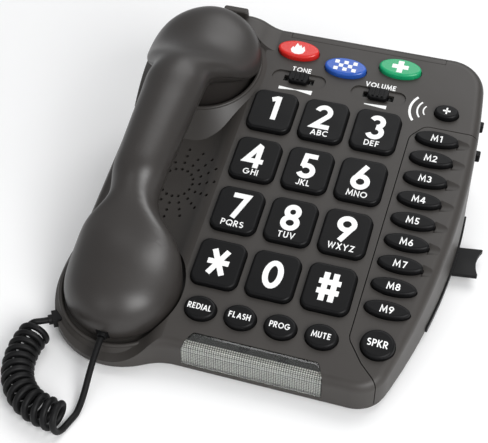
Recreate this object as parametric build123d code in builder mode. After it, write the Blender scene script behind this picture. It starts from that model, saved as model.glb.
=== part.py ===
from build123d import *
import math
import os

os.makedirs("parts", exist_ok=True)

# Corded big-button desk telephone, in millimetres. +Z is up, +Y runs from the front edge to the
# back, the keypad is on the right and the handset lies along the left. The origin is on the table.

# Tilted top face: (x, u, v) are across, up the slope and out of the face
face_tilt = 16.0
face_height = 45.0
keypad_x = 6.5
keypad_y = -1.6

# Base outline in plan
base_left = -100.0
base_back = 102.5
base_front = -92.0
side_bulge_x = 87.5
side_bulge_y = 30.0
side_radius = 400.0
back_corner_radius = 20.0
front_corner_radius = 16.0
collar_radius = 36.0
collar_blend_radius = 25.0
mouth_collar_y = -66.5

# Shells
foot_height = 2.5
foot_radius = 6.0
plate_thickness = 2.5
plate_inset = 1.0
wall = 2.5
top_edge_radius = 5.0
least_radius = 0.6
lip_height = 3.0
lip_thickness = 1.6
left_lip_length = 56.0
fit_gap = 0.25
slide_gap = 0.4

# Cradle: valley, wells and collars
valley_edge_x = -41.0
valley_lead = 0.15
valley_depth = 9.0
valley_crest_radius = 14.0
valley_foot_radius = 26.0
valley_rim_radius = 5.0
handset_x = -72.0
mouth_u = -67.0
ear_u = 70.0
mouth_well_radius = 31.5
ear_well_radius = 28.5
well_floor = -10.5
well_wall = 2.0
mouth_crest = -6.0
ear_crest = 3.0
crest_width = 2.4
flank_slope = 0.87
collar_root = 8.0
ridge_height = 5.5
ridge_top_x = -58.0
ridge_foot_x = -36.0
ridge_front_u = 79.0
ridge_edge_steps = 8
ear_tip_gap = 1.5
lug_width = 14.0
lug_thickness = 4.0
lug_height = 5.0
lug_x = -65.0
lug_setback = 1.5

# Keys
key_hole_gap = 0.4
key_proud = 3.2
key_travel = 1.6
key_edge_radius = 1.4
tab_reach = 1.3
tab_thickness = 1.4
tab_drop = 0.3
digit_pitch_x = 28.0
digit_pitch_u = 31.8
digit_width = 24.0
digit_height = 25.5
digit_corner_radius = 5.0
digit_tab_width = 14.0
memory_first = (59.8, 50.2)
memory_step = (-0.28, -12.745)
memory_count = 9
memory_width = 22.4
memory_height = 8.6
function_x = -29.3
function_u = -73.15
function_pitch = 20.1
function_width = 15.9
function_height = 12.4
speaker_key_place = (57.5, -70.6)
speaker_key_size = (16.4, 14.9)
boost_key_place = (61.2, 68.0)
boost_key_size = (12.7, 8.6)
emergency_size = (23.0, 11.6)
emergency_places = {"fire": (-25.4, 91.1), "police": (2.5, 85.1), "medical": (31.3, 91.1)}

# Board and rubber mat under the keys
mat_thickness = 1.2
mat_clearance = 0.5
board_thickness = 1.6
board_left = -36.0
board_right = 66.0
board_front = -80.0
board_back = 97.0
board_edge_gap = 1.5
boss_radius = 2.5

# Slide controls in the top face
slider_places = {"tone": (-20.5, 73.0), "volume": (23.7, 72.0)}
slider_recess_length = 30.0
slider_recess_width = 9.0
slider_recess_depth = 0.9
slider_knob_length = 11.0
slider_knob_width = 7.0
slider_knob_height = 2.6
slider_stem_length = 4.0
slider_stem_width = 3.0
slider_travel = 6.0

# Side switches: (y, z) of the knob
right_switches = {"ringer_switch": (80.5, 46.6), "ringer_tone_switch": (62.6, 41.0)}
left_switch = (38.5, 36.0)
switch_knob_length = 4.0
switch_knob_height = 4.4
switch_reach = 2.6
left_switch_reach = 1.0
switch_travel = 3.0
switch_flange_margin = 1.6
switch_flange_thickness = 1.2
switch_flange_gap = 1.6

# Speaker and grille
speaker_x = -70.0
speaker_u = -1.0
speaker_radius = 25.0
speaker_depth = 18.0
speaker_frame = 2.0
speaker_magnet_radius = 15.0
grille_x = -67.0
grille_spokes = 16
grille_rings = 4
grille_pitch = 4.3
grille_hole_radius = 0.85

# Memory panel seam and finger flutes
seam_width = 0.5
seam_radius = 6.0
seam_points = ((52.0, 58.0), (45.5, 50.0), (43.5, -70.0), (52.0, -81.0), (62.0, -90.0), (85.0, -120.0))
flute_count = 7
flute_radius = 5.4
flute_run = 8.0
flute_depth = 1.3

# Front window and rear panel
lens_left = -26.1
lens_right = 43.1
lens_top_u = -87.0
lens_bottom = 6.5
lens_corner_radius = 5.0
lens_thickness = 2.0
reflector_thickness = 1.4
rear_left = -25.5
rear_right = 60.5
rear_reach = 7.4932
rear_bottom = 12.0
rear_thickness = 2.0
socket_z = 26.0
line_socket_x = 34.0
line_socket_size = (13.0, 16.0, 12.0)
power_socket_x = 4.0
power_socket_radius = 5.5
power_socket_length = 14.0

# Index drawer
drawer_front = -36.0
drawer_back = 50.0
drawer_left = 8.0
drawer_thickness = 3.0
drawer_recess = 1.4
drawer_rim = 3.0
drawer_lip = 1.0
drawer_floor_gap = 0.3
drawer_guide_width = 1.6
tab_root = (5.7, 25.3)
tab_tip = (8.0, 28.0)
tab_tip_x = 101.0
tab_bar = 2.2
tab_hollow = 2.4

# Screws
screw_radius = 1.5
screw_head_radius = 3.0
screw_head_height = 1.8
screw_length = 14.0
column_radius = 4.0
screw_places = ((78.5, 75.0), (55.0, -84.0), (-90.0, 40.0), (-90.0, -36.0))
foot_places = ((-72.0, -70.0), (62.0, -74.0), (72.0, 80.0), (-74.0, 74.0))

# Hook switch plunger
plunger_radius = 4.0
plunger_length = 14.0
plunger_rise = 4.0
plunger_sunk = 0.15
plunger_flange = 1.6

# Handset, in the face's coordinates
lobe_radius = 29.6
mouth_tip = 30.0
ear_tip = 31.0
grip_half_mouth = 11.5
grip_half_ear = 17.0
blend_power = 3.5
mouth_parting = -4.0
ear_parting = 6.5
grip_parting = 35.0
mouth_ramp = 54.0
ear_ramp = 49.0
ramp_lead = 0.11
end_rise = 22.0
grip_rise = 12.5
mouth_drop = 5.5
ear_drop = 5.0
grip_drop = 12.0
parting_gap = 0.3
grip_stations = 14
handset_wall = 2.2
handset_rest_gap = 0.3
ear_cup_radius = 25.5
mouth_cup_radius = 24.0
cup_floor = 2.0
receiver_radius = 18.0
receiver_height = 8.0
microphone_radius = 5.0
microphone_height = 6.0
handset_screw_u = (-20.0, 26.0)
handset_boss_radius = 4.2
handset_screw_sink = 4.0
handset_screw_length = 16.0
sound_holes = 8
sound_hole_radius = 1.2

# Curly cord
wire_diameter = 3.2
coil_diameter = 16.0
coil_pitch = 4.75
coil_floor_gap = 0.2
cord_socket_angle = 213.0
cord_socket_z = 9.4
cord_plug_width = 6.6
cord_plug_height = 5.4
cord_plug_depth = 2.6
cord_plug_reach = 4.0
handset_plug_v = -2.0
handset_plug_width = 6.0
handset_plug_height = 5.4
handset_plug_length = 10.5
handset_plug_boot = 1.7
cord_boot_wall = 0.9
coil_loosening = 0.1
coil_points = (
    (-100.4, -95.0),
    (-102.0, -104.2),
    (-101.0, -115.2),
    (-97.0, -126.0),
    (-89.4, -134.6),
    (-79.0, -139.6),
    (-66.5, -141.0),
)
tail_table_run = 9.0
tail_plug_run = 11.0

# Working planes
tilt = math.radians(face_tilt)
up_slope = Vector(0, math.cos(tilt), math.sin(tilt))
outward = Vector(0, -math.sin(tilt), math.cos(tilt))
face = Plane(origin=(keypad_x, keypad_y, face_height), x_dir=(1, 0, 0), z_dir=outward)
face_axis = Axis((0, 0, 0), outward)
cross_section = Plane(origin=face.origin, x_dir=(1, 0, 0), z_dir=-up_slope)
long_section = Plane(origin=face.origin, x_dir=up_slope, z_dir=(1, 0, 0))
parting_z = foot_height + plate_thickness
collar_x = base_left + collar_radius
ear_collar_y = base_back - collar_radius
far = 160.0


def on_face(x, u, v):
    """World point of a place given across, up the slope and out of the face."""
    return face.from_local_coords(Vector(x, u, v))


def side_x(y):
    """Plan position of the bulged right wall."""
    return side_bulge_x - side_radius + math.sqrt(side_radius**2 - (y - side_bulge_y) ** 2)


def base_plan(inset, height, bottom):
    """Prism on the base's plan outline, drawn in by an inset."""
    notch_x = collar_x + math.sqrt(collar_radius**2 - (base_front - mouth_collar_y) ** 2)
    diagonal = collar_radius * math.sqrt(0.5)
    with BuildPart() as prism:
        with BuildSketch(Plane.XY.offset(bottom)) as plan:
            with BuildLine():
                Line((base_left, mouth_collar_y), (base_left, ear_collar_y))
                ThreePointArc(
                    (base_left, ear_collar_y),
                    (collar_x - diagonal, ear_collar_y + diagonal),
                    (collar_x, base_back),
                )
                Line((collar_x, base_back), (side_x(base_back), base_back))
                ThreePointArc(
                    (side_x(base_back), base_back),
                    (side_bulge_x, side_bulge_y),
                    (side_x(base_front), base_front),
                )
                Line((side_x(base_front), base_front), (notch_x, base_front))
                ThreePointArc(
                    (notch_x, base_front),
                    (collar_x - diagonal, mouth_collar_y - diagonal),
                    (base_left, mouth_collar_y),
                )
            make_face()
            for corner, radius in (
                ((side_x(base_back), base_back), back_corner_radius),
                ((side_x(base_front), base_front), front_corner_radius),
                ((notch_x, base_front), collar_blend_radius),
            ):
                fillet(plan.vertices().sort_by_distance(corner)[0], radius)
            if inset != 0:
                offset(amount=-inset, mode=Mode.REPLACE)
        extrude(amount=height)
    return prism.part


def valley(inset):
    """Cutter for the handset's valley: an S-curve down from the face, run along the slope."""
    drop = valley_depth + valley_lead
    bend = math.acos(1 - drop / (valley_crest_radius + valley_foot_radius))
    with BuildPart() as cutter:
        with BuildSketch(cross_section):
            with BuildLine():
                crest = JernArc(
                    start=(valley_edge_x, valley_lead - inset),
                    tangent=(-1, 0),
                    radius=valley_crest_radius - inset,
                    arc_size=math.degrees(bend),
                )
                foot = JernArc(
                    start=crest @ 1,
                    tangent=crest % 1,
                    radius=valley_foot_radius + inset,
                    arc_size=-math.degrees(bend),
                )
                left = base_left - keypad_x + inset
                rim = max(valley_rim_radius - inset, least_radius)
                floor = Line(foot @ 1, (left + rim, (foot @ 1).Y))
                edge = JernArc(start=floor @ 1, tangent=(-1, 0), radius=rim, arc_size=90)
                Polyline(
                    edge @ 1,
                    edge @ 1 - (0, 1),
                    (-far, (edge @ 1).Y - 1),
                    (-far, far),
                    (valley_edge_x, far),
                    crest @ 0,
                )
            make_face()
        extrude(amount=far, both=True)
    return cutter.part


def housing_block(inset, lift=0.0, with_valley=True):
    """Solid form of the upper housing, drawn in by an inset, with its top edge rounded."""
    prism = base_plan(inset, far, parting_z - (1.0 if inset else 0.0))
    cutter = valley(inset)
    with BuildPart() as block:
        add(prism)
        split(bisect_by=face.offset(lift - inset), keep=Keep.BOTTOM)
        walls = block.faces().filter_by(lambda f: abs(f.normal_at().Z) < 0.02)
        top = block.faces().sort_by(face_axis)[-1]
        fillet(top.edges() & walls.edges(), max(top_edge_radius - inset, least_radius))
        if with_valley:
            add(cutter, mode=Mode.SUBTRACT)
    return block.part


def collar_ring(u, radius, crest, foot):
    """Raised rim round a handset well: a rounded crest with a sloping outer flank."""
    shoulder = crest - crest_width / 2
    toe = radius + crest_width + (shoulder - foot) / flank_slope
    centre = on_face(handset_x, u, 0)
    with BuildPart() as ring:
        with BuildSketch(Plane(origin=centre, x_dir=(1, 0, 0), z_dir=-up_slope)):
            with BuildLine():
                ThreePointArc(
                    (radius, shoulder),
                    (radius + crest_width / 2, crest),
                    (radius + crest_width, shoulder),
                )
                Polyline(
                    (radius + crest_width, shoulder),
                    (toe, foot),
                    (toe, foot - collar_root),
                    (radius, foot - collar_root),
                    (radius, shoulder),
                )
            make_face()
        revolve(axis=Axis(centre, outward))
        add(base_prism, mode=Mode.INTERSECT)
    return ring.part


def face_cylinder(x, u, v, radius, length):
    """Round solid standing out of the face, from a depth v."""
    with BuildPart() as cylinder:
        with BuildSketch(face.offset(v)):
            with Locations((x, u)):
                Circle(radius)
        extrude(amount=length)
    return cylinder.part


def window_prism(grow):
    """Front-view outline of the window, run through the front edge."""
    top = on_face(0, lens_top_u, 0).Z + grow
    with BuildPart() as prism:
        with BuildSketch(Plane.XZ.offset(-base_front - 2 * wall - top_edge_radius)) as window:
            with Locations(((lens_left + lens_right) / 2, (lens_bottom - grow + top) / 2)):
                Rectangle(lens_right - lens_left + 2 * grow, top - lens_bottom + 2 * grow)
            fillet(window.vertices().group_by(Axis.Y)[-1], lens_corner_radius)
        extrude(amount=far)
    return prism.part


def rear_prism(grow):
    """Region of the rear connector panel, over the back edge."""
    top_y = base_back - rear_reach
    with BuildPart() as prism:
        with BuildSketch(Plane.XY.offset(rear_bottom - grow)):
            with Locations(((rear_left + rear_right) / 2, (top_y + far) / 2)):
                Rectangle(rear_right - rear_left + 2 * grow, far - top_y + 2 * grow)
        extrude(amount=far)
    return prism.part


def memory_region(grow):
    """Plan region of the memory side panel, bounded by its seam."""
    points = [on_face(x, u, 0) for x, u in seam_points]
    corners = [(point.X, point.Y) for point in points]
    with BuildPart() as region:
        with BuildSketch(Plane.XY) as outline:
            with BuildLine():
                Polyline(*corners, (far, corners[-1][1]), (far, corners[0][1]), close=True)
            make_face()
            inner = outline.vertices().sort_by(Axis.X)[:-4]
            fillet(inner, seam_radius)
            offset(amount=grow, mode=Mode.REPLACE)
        extrude(amount=far)
    return region.part


def drawer_slab(grow_y, bottom, top, reach):
    """Flat slab of the index drawer's outline, its outer edge along the bulged wall."""
    slab = base_plan(-reach, top - bottom, bottom)
    with BuildPart() as drawer:
        add(slab)
        with BuildSketch(Plane.XY.offset(bottom)):
            with Locations((drawer_left, (drawer_front + drawer_back) / 2)):
                Rectangle(
                    far,
                    drawer_back - drawer_front + 2 * grow_y,
                    align=(Align.MIN, Align.CENTER),
                )
        extrude(amount=top - bottom, mode=Mode.INTERSECT)
    return drawer.part


# Key list: name, place on the face, outline grown by a gap, and its retaining tab
def digit_outline(grow):
    """Rounded square of a number key."""
    RectangleRounded(digit_width + 2 * grow, digit_height + 2 * grow, digit_corner_radius + grow)


def oval_outline(size):
    """Outline function of an oval key."""

    def outline(grow):
        Ellipse(size[0] / 2 + grow, size[1] / 2 + grow)

    return outline


def digit_tab():
    """Retaining tab of a number key, reaching out under the face above and below it."""
    Rectangle(digit_tab_width, digit_height + 2 * tab_reach)


def wide_tab(size):
    """Outline function of a tab that reaches out to the left and right of its key."""

    def outline():
        Rectangle(size[0] + 2 * tab_reach, size[1] / 2)

    return outline


def tall_tab(size):
    """Outline function of a tab that reaches out above and below its key."""

    def outline():
        Rectangle(size[0] / 2, size[1] + 2 * tab_reach)

    return outline


keys = []
digit_names = ("1", "2", "3", "4", "5", "6", "7", "8", "9", "star", "0", "hash")
for index, name in enumerate(digit_names):
    row, column = divmod(index, 3)
    place = ((column - 1) * digit_pitch_x, (1.5 - row) * digit_pitch_u)
    keys.append((f"key_{name}", place, digit_outline, digit_tab))
memory_size = (memory_width, memory_height)
for index in range(memory_count):
    place = (memory_first[0] + index * memory_step[0], memory_first[1] + index * memory_step[1])
    keys.append((f"memory_key_{index + 1}", place, oval_outline(memory_size), tall_tab(memory_size)))
function_size = (function_width, function_height)
for index, name in enumerate(("redial", "flash", "program", "mute")):
    place = (function_x + index * function_pitch, function_u)
    keys.append((f"{name}_key", place, oval_outline(function_size), tall_tab(function_size)))
for name, place in emergency_places.items():
    keys.append((f"emergency_key_{name}", place, oval_outline(emergency_size), wide_tab(emergency_size)))
keys.append(("speaker_key", speaker_key_place, oval_outline(speaker_key_size), tall_tab(speaker_key_size)))
keys.append(("boost_key", boost_key_place, oval_outline(boost_key_size), wide_tab(boost_key_size)))

# Depths below the face that the keys, mat and board share
tab_top = -wall - tab_drop
key_bottom = tab_top - tab_thickness
mat_top = key_bottom - key_travel - mat_clearance
board_top = mat_top - mat_thickness
boss_places = [(x * digit_pitch_x / 2, u * digit_pitch_u) for x in (-1, 1) for u in (-1, 0, 1)]

# Upper housing: rounded tilted block with the cradle formed in it, then hollowed
base_prism = base_plan(0.0, far, parting_z)
outer_block = housing_block(0.0)
inner_block = housing_block(wall)
ridge_block = housing_block(0.0, ridge_height, False)
mouth_ring = collar_ring(mouth_u, mouth_well_radius, mouth_crest, -valley_depth - 1)
ear_ring = collar_ring(ear_u, ear_well_radius, ear_crest, -valley_depth - 1)


def ridge_profile(x):
    """Height of the ridge over the face: two equal arcs from its foot up to its crest."""
    run = (ridge_foot_x - ridge_top_x) / 2
    top = ridge_height + valley_lead
    radius = (run**2 + (top / 2) ** 2) / top
    from_foot = min(max(ridge_foot_x - x, 0.0), 2 * run)
    near = min(from_foot, 2 * run - from_foot)
    lift = radius - math.sqrt(radius**2 - near**2)
    return (lift if from_foot < run else top - lift) - valley_lead


# Rounding of the ridge's rear edge, where it falls from the crest to the face
with BuildPart() as ridge_edge:
    corner_half = (math.pi / 2 - tilt) / 2
    to_tangent = top_edge_radius / math.tan(corner_half)
    to_centre = top_edge_radius / math.sin(corner_half)
    for step in range(ridge_edge_steps + 1):
        x = ridge_top_x + (ridge_foot_x + fit_gap - ridge_top_x) * step / ridge_edge_steps
        v = ridge_profile(x)
        corner = on_face(x, (base_back - keypad_y + v * math.sin(tilt)) / math.cos(tilt), v)
        inward = (up_slope + Vector(0, 0, 1)).normalized() * -1
        centre = corner + inward * to_centre
        on_top = corner - up_slope * to_tangent
        on_wall = corner - Vector(0, 0, to_tangent)
        with BuildSketch(Plane(origin=corner, x_dir=(0, 1, 0), z_dir=(1, 0, 0))):
            with BuildLine():
                spots = [p - corner for p in (on_top, centre - inward * top_edge_radius, on_wall)]
                flat = [(p.Y, p.Z) for p in spots]
                ThreePointArc(*flat)
                Polyline(flat[2], (wall, flat[2][1]), (wall, wall), (flat[0][0], wall), flat[0])
            make_face()
    loft()

with BuildPart() as ridge:
    half_bend = math.atan((ridge_height + valley_lead) / (ridge_foot_x - ridge_top_x))
    ridge_radius = (ridge_foot_x - ridge_top_x) / (2 * math.sin(2 * half_bend))
    with BuildSketch(cross_section):
        with BuildLine():
            foot = JernArc(
                start=(ridge_foot_x, -valley_lead),
                tangent=(-1, 0),
                radius=ridge_radius,
                arc_size=-math.degrees(2 * half_bend),
            )
            crest = JernArc(
                start=foot @ 1,
                tangent=foot % 1,
                radius=ridge_radius,
                arc_size=math.degrees(2 * half_bend),
            )
            Polyline(
                crest @ 1,
                (-far, (crest @ 1).Y),
                (-far, -valley_depth - collar_root),
                (ridge_foot_x, -valley_depth - collar_root),
                foot @ 0,
            )
        make_face()
    extrude(amount=far, both=True)
    with BuildSketch(long_section):
        with BuildLine():
            Polyline(
                (ridge_front_u, -valley_depth - 1),
                (ridge_front_u + far, -valley_depth - 1 + far),
                (ridge_front_u + far, -far),
                (ridge_front_u, -far),
                close=True,
            )
        make_face()
    extrude(amount=far, both=True, mode=Mode.INTERSECT)
    add(ridge_block, mode=Mode.INTERSECT)
    add(ridge_edge.part, mode=Mode.SUBTRACT)
    with BuildSketch(face.offset(ear_crest - crest_width / 2)):
        with Locations((handset_x, ear_u)):
            Circle(ear_tip + ear_tip_gap)
    extrude(amount=far, mode=Mode.SUBTRACT)

with BuildPart() as lug:
    lug_u = (base_back - keypad_y) / math.cos(tilt) - lug_thickness / 2 - lug_setback
    with BuildSketch(face.offset(-valley_lead)):
        with Locations((lug_x, lug_u)):
            RectangleRounded(lug_width, lug_thickness, lug_thickness / 3)
    extrude(amount=ridge_height + lug_height + valley_lead)
    fillet(lug.faces().sort_by(face_axis)[-1].edges(), lug_thickness / 4)

mouth_well = face_cylinder(handset_x, mouth_u, well_floor, mouth_well_radius, far)
ear_well = face_cylinder(handset_x, ear_u, well_floor, ear_well_radius, far)
mouth_cup = face_cylinder(handset_x, mouth_u, well_floor - wall, mouth_well_radius + well_wall, far)
ear_cup = face_cylinder(handset_x, ear_u, well_floor - wall, ear_well_radius + well_wall, far)

with BuildPart() as cavity:
    add(inner_block)
    add(mouth_cup, mode=Mode.SUBTRACT)
    add(ear_cup, mode=Mode.SUBTRACT)

column_limit = housing_block(wall / 2)
with BuildPart() as columns:
    with BuildSketch(Plane.XY.offset(parting_z)):
        with Locations(*screw_places):
            Circle(column_radius)
    extrude(amount=far)
    add(column_limit, mode=Mode.INTERSECT)

window_cut = window_prism(fit_gap)
rear_cut = rear_prism(fit_gap)
drawer_top = parting_z + drawer_floor_gap + drawer_thickness
drawer_cut = drawer_slab(slide_gap, parting_z - 1, drawer_top + slide_gap, 4 * wall)

with BuildPart() as housing_shell:
    add(outer_block)
    add(ridge.part)
    add(lug.part)
    add(mouth_ring)
    add(ear_ring)
    add(mouth_well, mode=Mode.SUBTRACT)
    add(ear_well, mode=Mode.SUBTRACT)
    add(cavity.part, mode=Mode.SUBTRACT)
    add(columns.part)
    with BuildSketch(Plane.XY.offset(parting_z)):
        with Locations(*screw_places):
            Circle(screw_radius)
    extrude(amount=screw_length, mode=Mode.SUBTRACT)
    with BuildSketch(face.offset(board_top)):
        with Locations(*boss_places):
            Circle(boss_radius)
    extrude(amount=-board_top - wall / 2)
    with BuildSketch(face.offset(mat_top)):
        for name, place, outline, tab in keys:
            with Locations(place):
                outline(key_hole_gap)
    extrude(amount=key_proud - mat_top, mode=Mode.SUBTRACT)
    with BuildSketch(face.offset(-slider_recess_depth)):
        with Locations(*slider_places.values()):
            SlotOverall(slider_recess_length, slider_recess_width)
    extrude(amount=wall, mode=Mode.SUBTRACT)
    with BuildSketch(face.offset(-wall - 1)):
        with Locations(*slider_places.values()):
            Rectangle(
                slider_stem_length + 2 * (slider_travel + slide_gap),
                slider_stem_width + 2 * slide_gap,
            )
    extrude(amount=wall + 1, mode=Mode.SUBTRACT)
    switch_slot = (
        switch_knob_length + 2 * (switch_travel + slide_gap),
        switch_knob_height + 2 * slide_gap,
    )
    with BuildSketch(Plane.YZ.offset(side_bulge_x - 4 * wall)):
        with Locations(*right_switches.values()):
            Rectangle(*switch_slot)
    extrude(amount=far, mode=Mode.SUBTRACT)
    with BuildSketch(Plane.YZ.offset(base_left - wall)):
        with Locations(left_switch):
            Rectangle(*switch_slot)
    extrude(amount=3 * wall, mode=Mode.SUBTRACT)
    with BuildSketch(face.offset(well_floor - 2 * wall)):
        with Locations((handset_x, ear_u)):
            Circle(plunger_radius + slide_gap)
    extrude(amount=3 * wall, mode=Mode.SUBTRACT)
    with BuildSketch(face.offset(-valley_depth - 2 * wall)):
        for ring_index in range(grille_rings):
            with Locations((grille_x, speaker_u)):
                with PolarLocations((ring_index + 2) * grille_pitch, grille_spokes):
                    Circle(grille_hole_radius)
    extrude(amount=valley_depth + 3 * wall, mode=Mode.SUBTRACT)
    add(window_cut, mode=Mode.SUBTRACT)
    add(rear_cut, mode=Mode.SUBTRACT)
    add(drawer_cut, mode=Mode.SUBTRACT)

    for index in range(flute_count):
        flute_u = memory_first[1] + index * memory_step[1]
        flute_x = memory_first[0] + index * memory_step[0] + memory_width / 2 - flute_depth
        start = on_face(flute_x, flute_u, flute_radius - flute_depth)
        end = on_face(flute_x + flute_run, flute_u, flute_radius)
        lean = Plane(start, x_dir=up_slope, z_dir=end - start)
        with BuildSketch(lean):
            Circle(flute_radius)
        extrude(amount=2 * flute_run, mode=Mode.SUBTRACT)

panel_cut = memory_region(seam_width / 2)
panel_region = memory_region(-seam_width / 2)
socket_turn = math.radians(cord_socket_angle)
socket_normal = Vector(math.cos(socket_turn), math.sin(socket_turn), 0)
socket_centre = Vector(collar_x, mouth_collar_y, cord_socket_z) + socket_normal * collar_radius
socket_plane = Plane(origin=socket_centre, x_dir=Vector(0, 0, 1).cross(socket_normal), z_dir=socket_normal)

with BuildPart() as base_upper_housing:
    add(housing_shell.part)
    add(panel_cut, mode=Mode.SUBTRACT)
    with BuildSketch(socket_plane.offset(-cord_plug_depth)):
        Rectangle(cord_plug_width + 2 * fit_gap, cord_plug_height + 2 * fit_gap)
    extrude(amount=2 * wall, mode=Mode.SUBTRACT)
base_upper_housing.part.label = "base_upper_housing"
export_step(base_upper_housing.part, "parts/base_upper_housing.step")

with BuildPart() as memory_side_panel:
    add(housing_shell.part)
    add(panel_region, mode=Mode.INTERSECT)
memory_side_panel.part.label = "memory_side_panel"
export_step(memory_side_panel.part, "parts/memory_side_panel.step")

# Window, reflector and rear panel: skins cut from the same rounded block
window = window_prism(0.0)
lens_inner = housing_block(lens_thickness)
with BuildPart() as strobe_lens:
    add(outer_block)
    add(lens_inner, mode=Mode.SUBTRACT)
    add(window, mode=Mode.INTERSECT)
strobe_lens.part.label = "strobe_lens"
export_step(strobe_lens.part, "parts/strobe_lens.step")

reflector_outer = housing_block(lens_thickness + fit_gap)
reflector_inner = housing_block(lens_thickness + fit_gap + reflector_thickness)
with BuildPart() as strobe_reflector:
    add(reflector_outer)
    add(reflector_inner, mode=Mode.SUBTRACT)
    add(window, mode=Mode.INTERSECT)
strobe_reflector.part.label = "strobe_reflector"
export_step(strobe_reflector.part, "parts/strobe_reflector.step")

rear_region = rear_prism(0.0)
line_hole = (line_socket_size[0] - 2 * wall / 2, line_socket_size[2] - 2 * wall / 2)
with BuildPart() as rear_connector_panel:
    add(outer_block)
    add(lens_inner, mode=Mode.SUBTRACT)
    add(rear_region, mode=Mode.INTERSECT)
    with BuildSketch(Plane.XZ.offset(-base_back - wall)):
        with Locations((line_socket_x, socket_z)):
            Rectangle(*line_hole)
        with Locations((power_socket_x, socket_z)):
            Circle(power_socket_radius + fit_gap)
    extrude(amount=3 * wall, mode=Mode.SUBTRACT)
rear_connector_panel.part.label = "rear_connector_panel"
export_step(rear_connector_panel.part, "parts/rear_connector_panel.step")

with BuildPart() as line_socket:
    with BuildSketch(Plane.XZ.offset(-base_back + rear_thickness)):
        with Locations((line_socket_x, socket_z)):
            Rectangle(line_socket_size[0], line_socket_size[2])
    extrude(amount=line_socket_size[1])
    with BuildSketch(Plane.XZ.offset(-base_back + rear_thickness)):
        with Locations((line_socket_x, socket_z)):
            Rectangle(*line_hole)
    extrude(amount=line_socket_size[1] - wall, mode=Mode.SUBTRACT)
line_socket.part.label = "line_socket"
export_step(line_socket.part, "parts/line_socket.step")

with BuildPart() as power_socket:
    with BuildSketch(Plane.XZ.offset(-base_back)):
        with Locations((power_socket_x, socket_z)):
            Circle(power_socket_radius)
    extrude(amount=power_socket_length)
    with BuildSketch(Plane.XZ.offset(-base_back)):
        with Locations((power_socket_x, socket_z)):
            Circle(power_socket_radius / 2)
            Circle(power_socket_radius / 6, mode=Mode.SUBTRACT)
    extrude(amount=power_socket_length - wall, mode=Mode.SUBTRACT)
power_socket.part.label = "power_socket"
export_step(power_socket.part, "parts/power_socket.step")

# Lower housing: bottom plate with locating lips, drawer guides and screw recesses
lip_outer = base_plan(wall + slide_gap, lip_height, parting_z)
lip_inner = base_plan(wall + slide_gap + lip_thickness, lip_height, parting_z)
bottom_plate = base_plan(plate_inset, plate_thickness, foot_height)
guide_reach = slide_gap + drawer_guide_width / 2
guide_y = (drawer_front - guide_reach, drawer_back + guide_reach)
with BuildPart() as lips:
    add(lip_outer)
    add(lip_inner, mode=Mode.SUBTRACT)
    with BuildSketch(Plane.XY.offset(parting_z)):
        with Locations(((rear_left + rear_right) / 2, base_back)):
            Rectangle(rear_right - rear_left, 4 * lip_height)
        with Locations((base_left, 0)):
            Rectangle(4 * lip_height, left_lip_length)
    extrude(amount=lip_height, mode=Mode.INTERSECT)
with BuildPart() as base_lower_housing:
    add(bottom_plate)
    add(lips.part)
    with BuildSketch(Plane.XY.offset(parting_z)):
        for y in guide_y:
            with Locations((drawer_left, y)):
                Rectangle(
                    side_x(drawer_front) - drawer_left - 2 * wall,
                    drawer_guide_width,
                    align=(Align.MIN, Align.CENTER),
                )
    extrude(amount=drawer_floor_gap + drawer_thickness)
    with Locations(*[Pos(x, y, foot_height) * Rot(180, 0, 0) for x, y in screw_places]):
        CounterBoreHole(
            radius=screw_radius + fit_gap / 2,
            counter_bore_radius=screw_head_radius + fit_gap,
            counter_bore_depth=screw_head_height,
            depth=2 * wall,
        )
base_lower_housing.part.label = "base_lower_housing"
export_step(base_lower_housing.part, "parts/base_lower_housing.step")

with BuildPart() as housing_screws:
    with BuildSketch(Plane.XY.offset(foot_height)):
        with Locations(*screw_places):
            Circle(screw_head_radius)
    extrude(amount=screw_head_height)
    with BuildSketch(Plane.XY.offset(foot_height)):
        with Locations(*screw_places):
            Circle(screw_radius)
    extrude(amount=screw_length)
housing_screws.part.label = "housing_screws"
export_step(housing_screws.part, "parts/housing_screws.step")

with BuildPart() as rubber_feet:
    with BuildSketch(Plane.XY):
        with Locations(*foot_places):
            Circle(foot_radius)
    extrude(amount=foot_height)
    fillet(rubber_feet.edges().group_by(Axis.Z)[0], foot_height / 3)
rubber_feet.part.label = "rubber_feet"
export_step(rubber_feet.part, "parts/rubber_feet.step")

# Board, mat and speaker inside the base
board_limit = base_plan(wall + board_edge_gap, far, parting_z)
board_place = ((board_left + board_right) / 2, (board_front + board_back) / 2)
board_size = (board_right - board_left, board_back - board_front)
with BuildPart() as main_circuit_board:
    with BuildSketch(face.offset(board_top - board_thickness)):
        with Locations(board_place):
            Rectangle(*board_size)
    extrude(amount=board_thickness)
    add(board_limit, mode=Mode.INTERSECT)
main_circuit_board.part.label = "main_circuit_board"
export_step(main_circuit_board.part, "parts/main_circuit_board.step")

with BuildPart() as keypad_mat:
    with BuildSketch(face.offset(board_top)):
        with Locations(board_place):
            Rectangle(board_size[0] - 2 * board_edge_gap, board_size[1])
        with Locations(*boss_places):
            Circle(boss_radius + slide_gap, mode=Mode.SUBTRACT)
    extrude(amount=mat_thickness)
    add(board_limit, mode=Mode.INTERSECT)
keypad_mat.part.label = "keypad_mat"
export_step(keypad_mat.part, "parts/keypad_mat.step")

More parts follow.
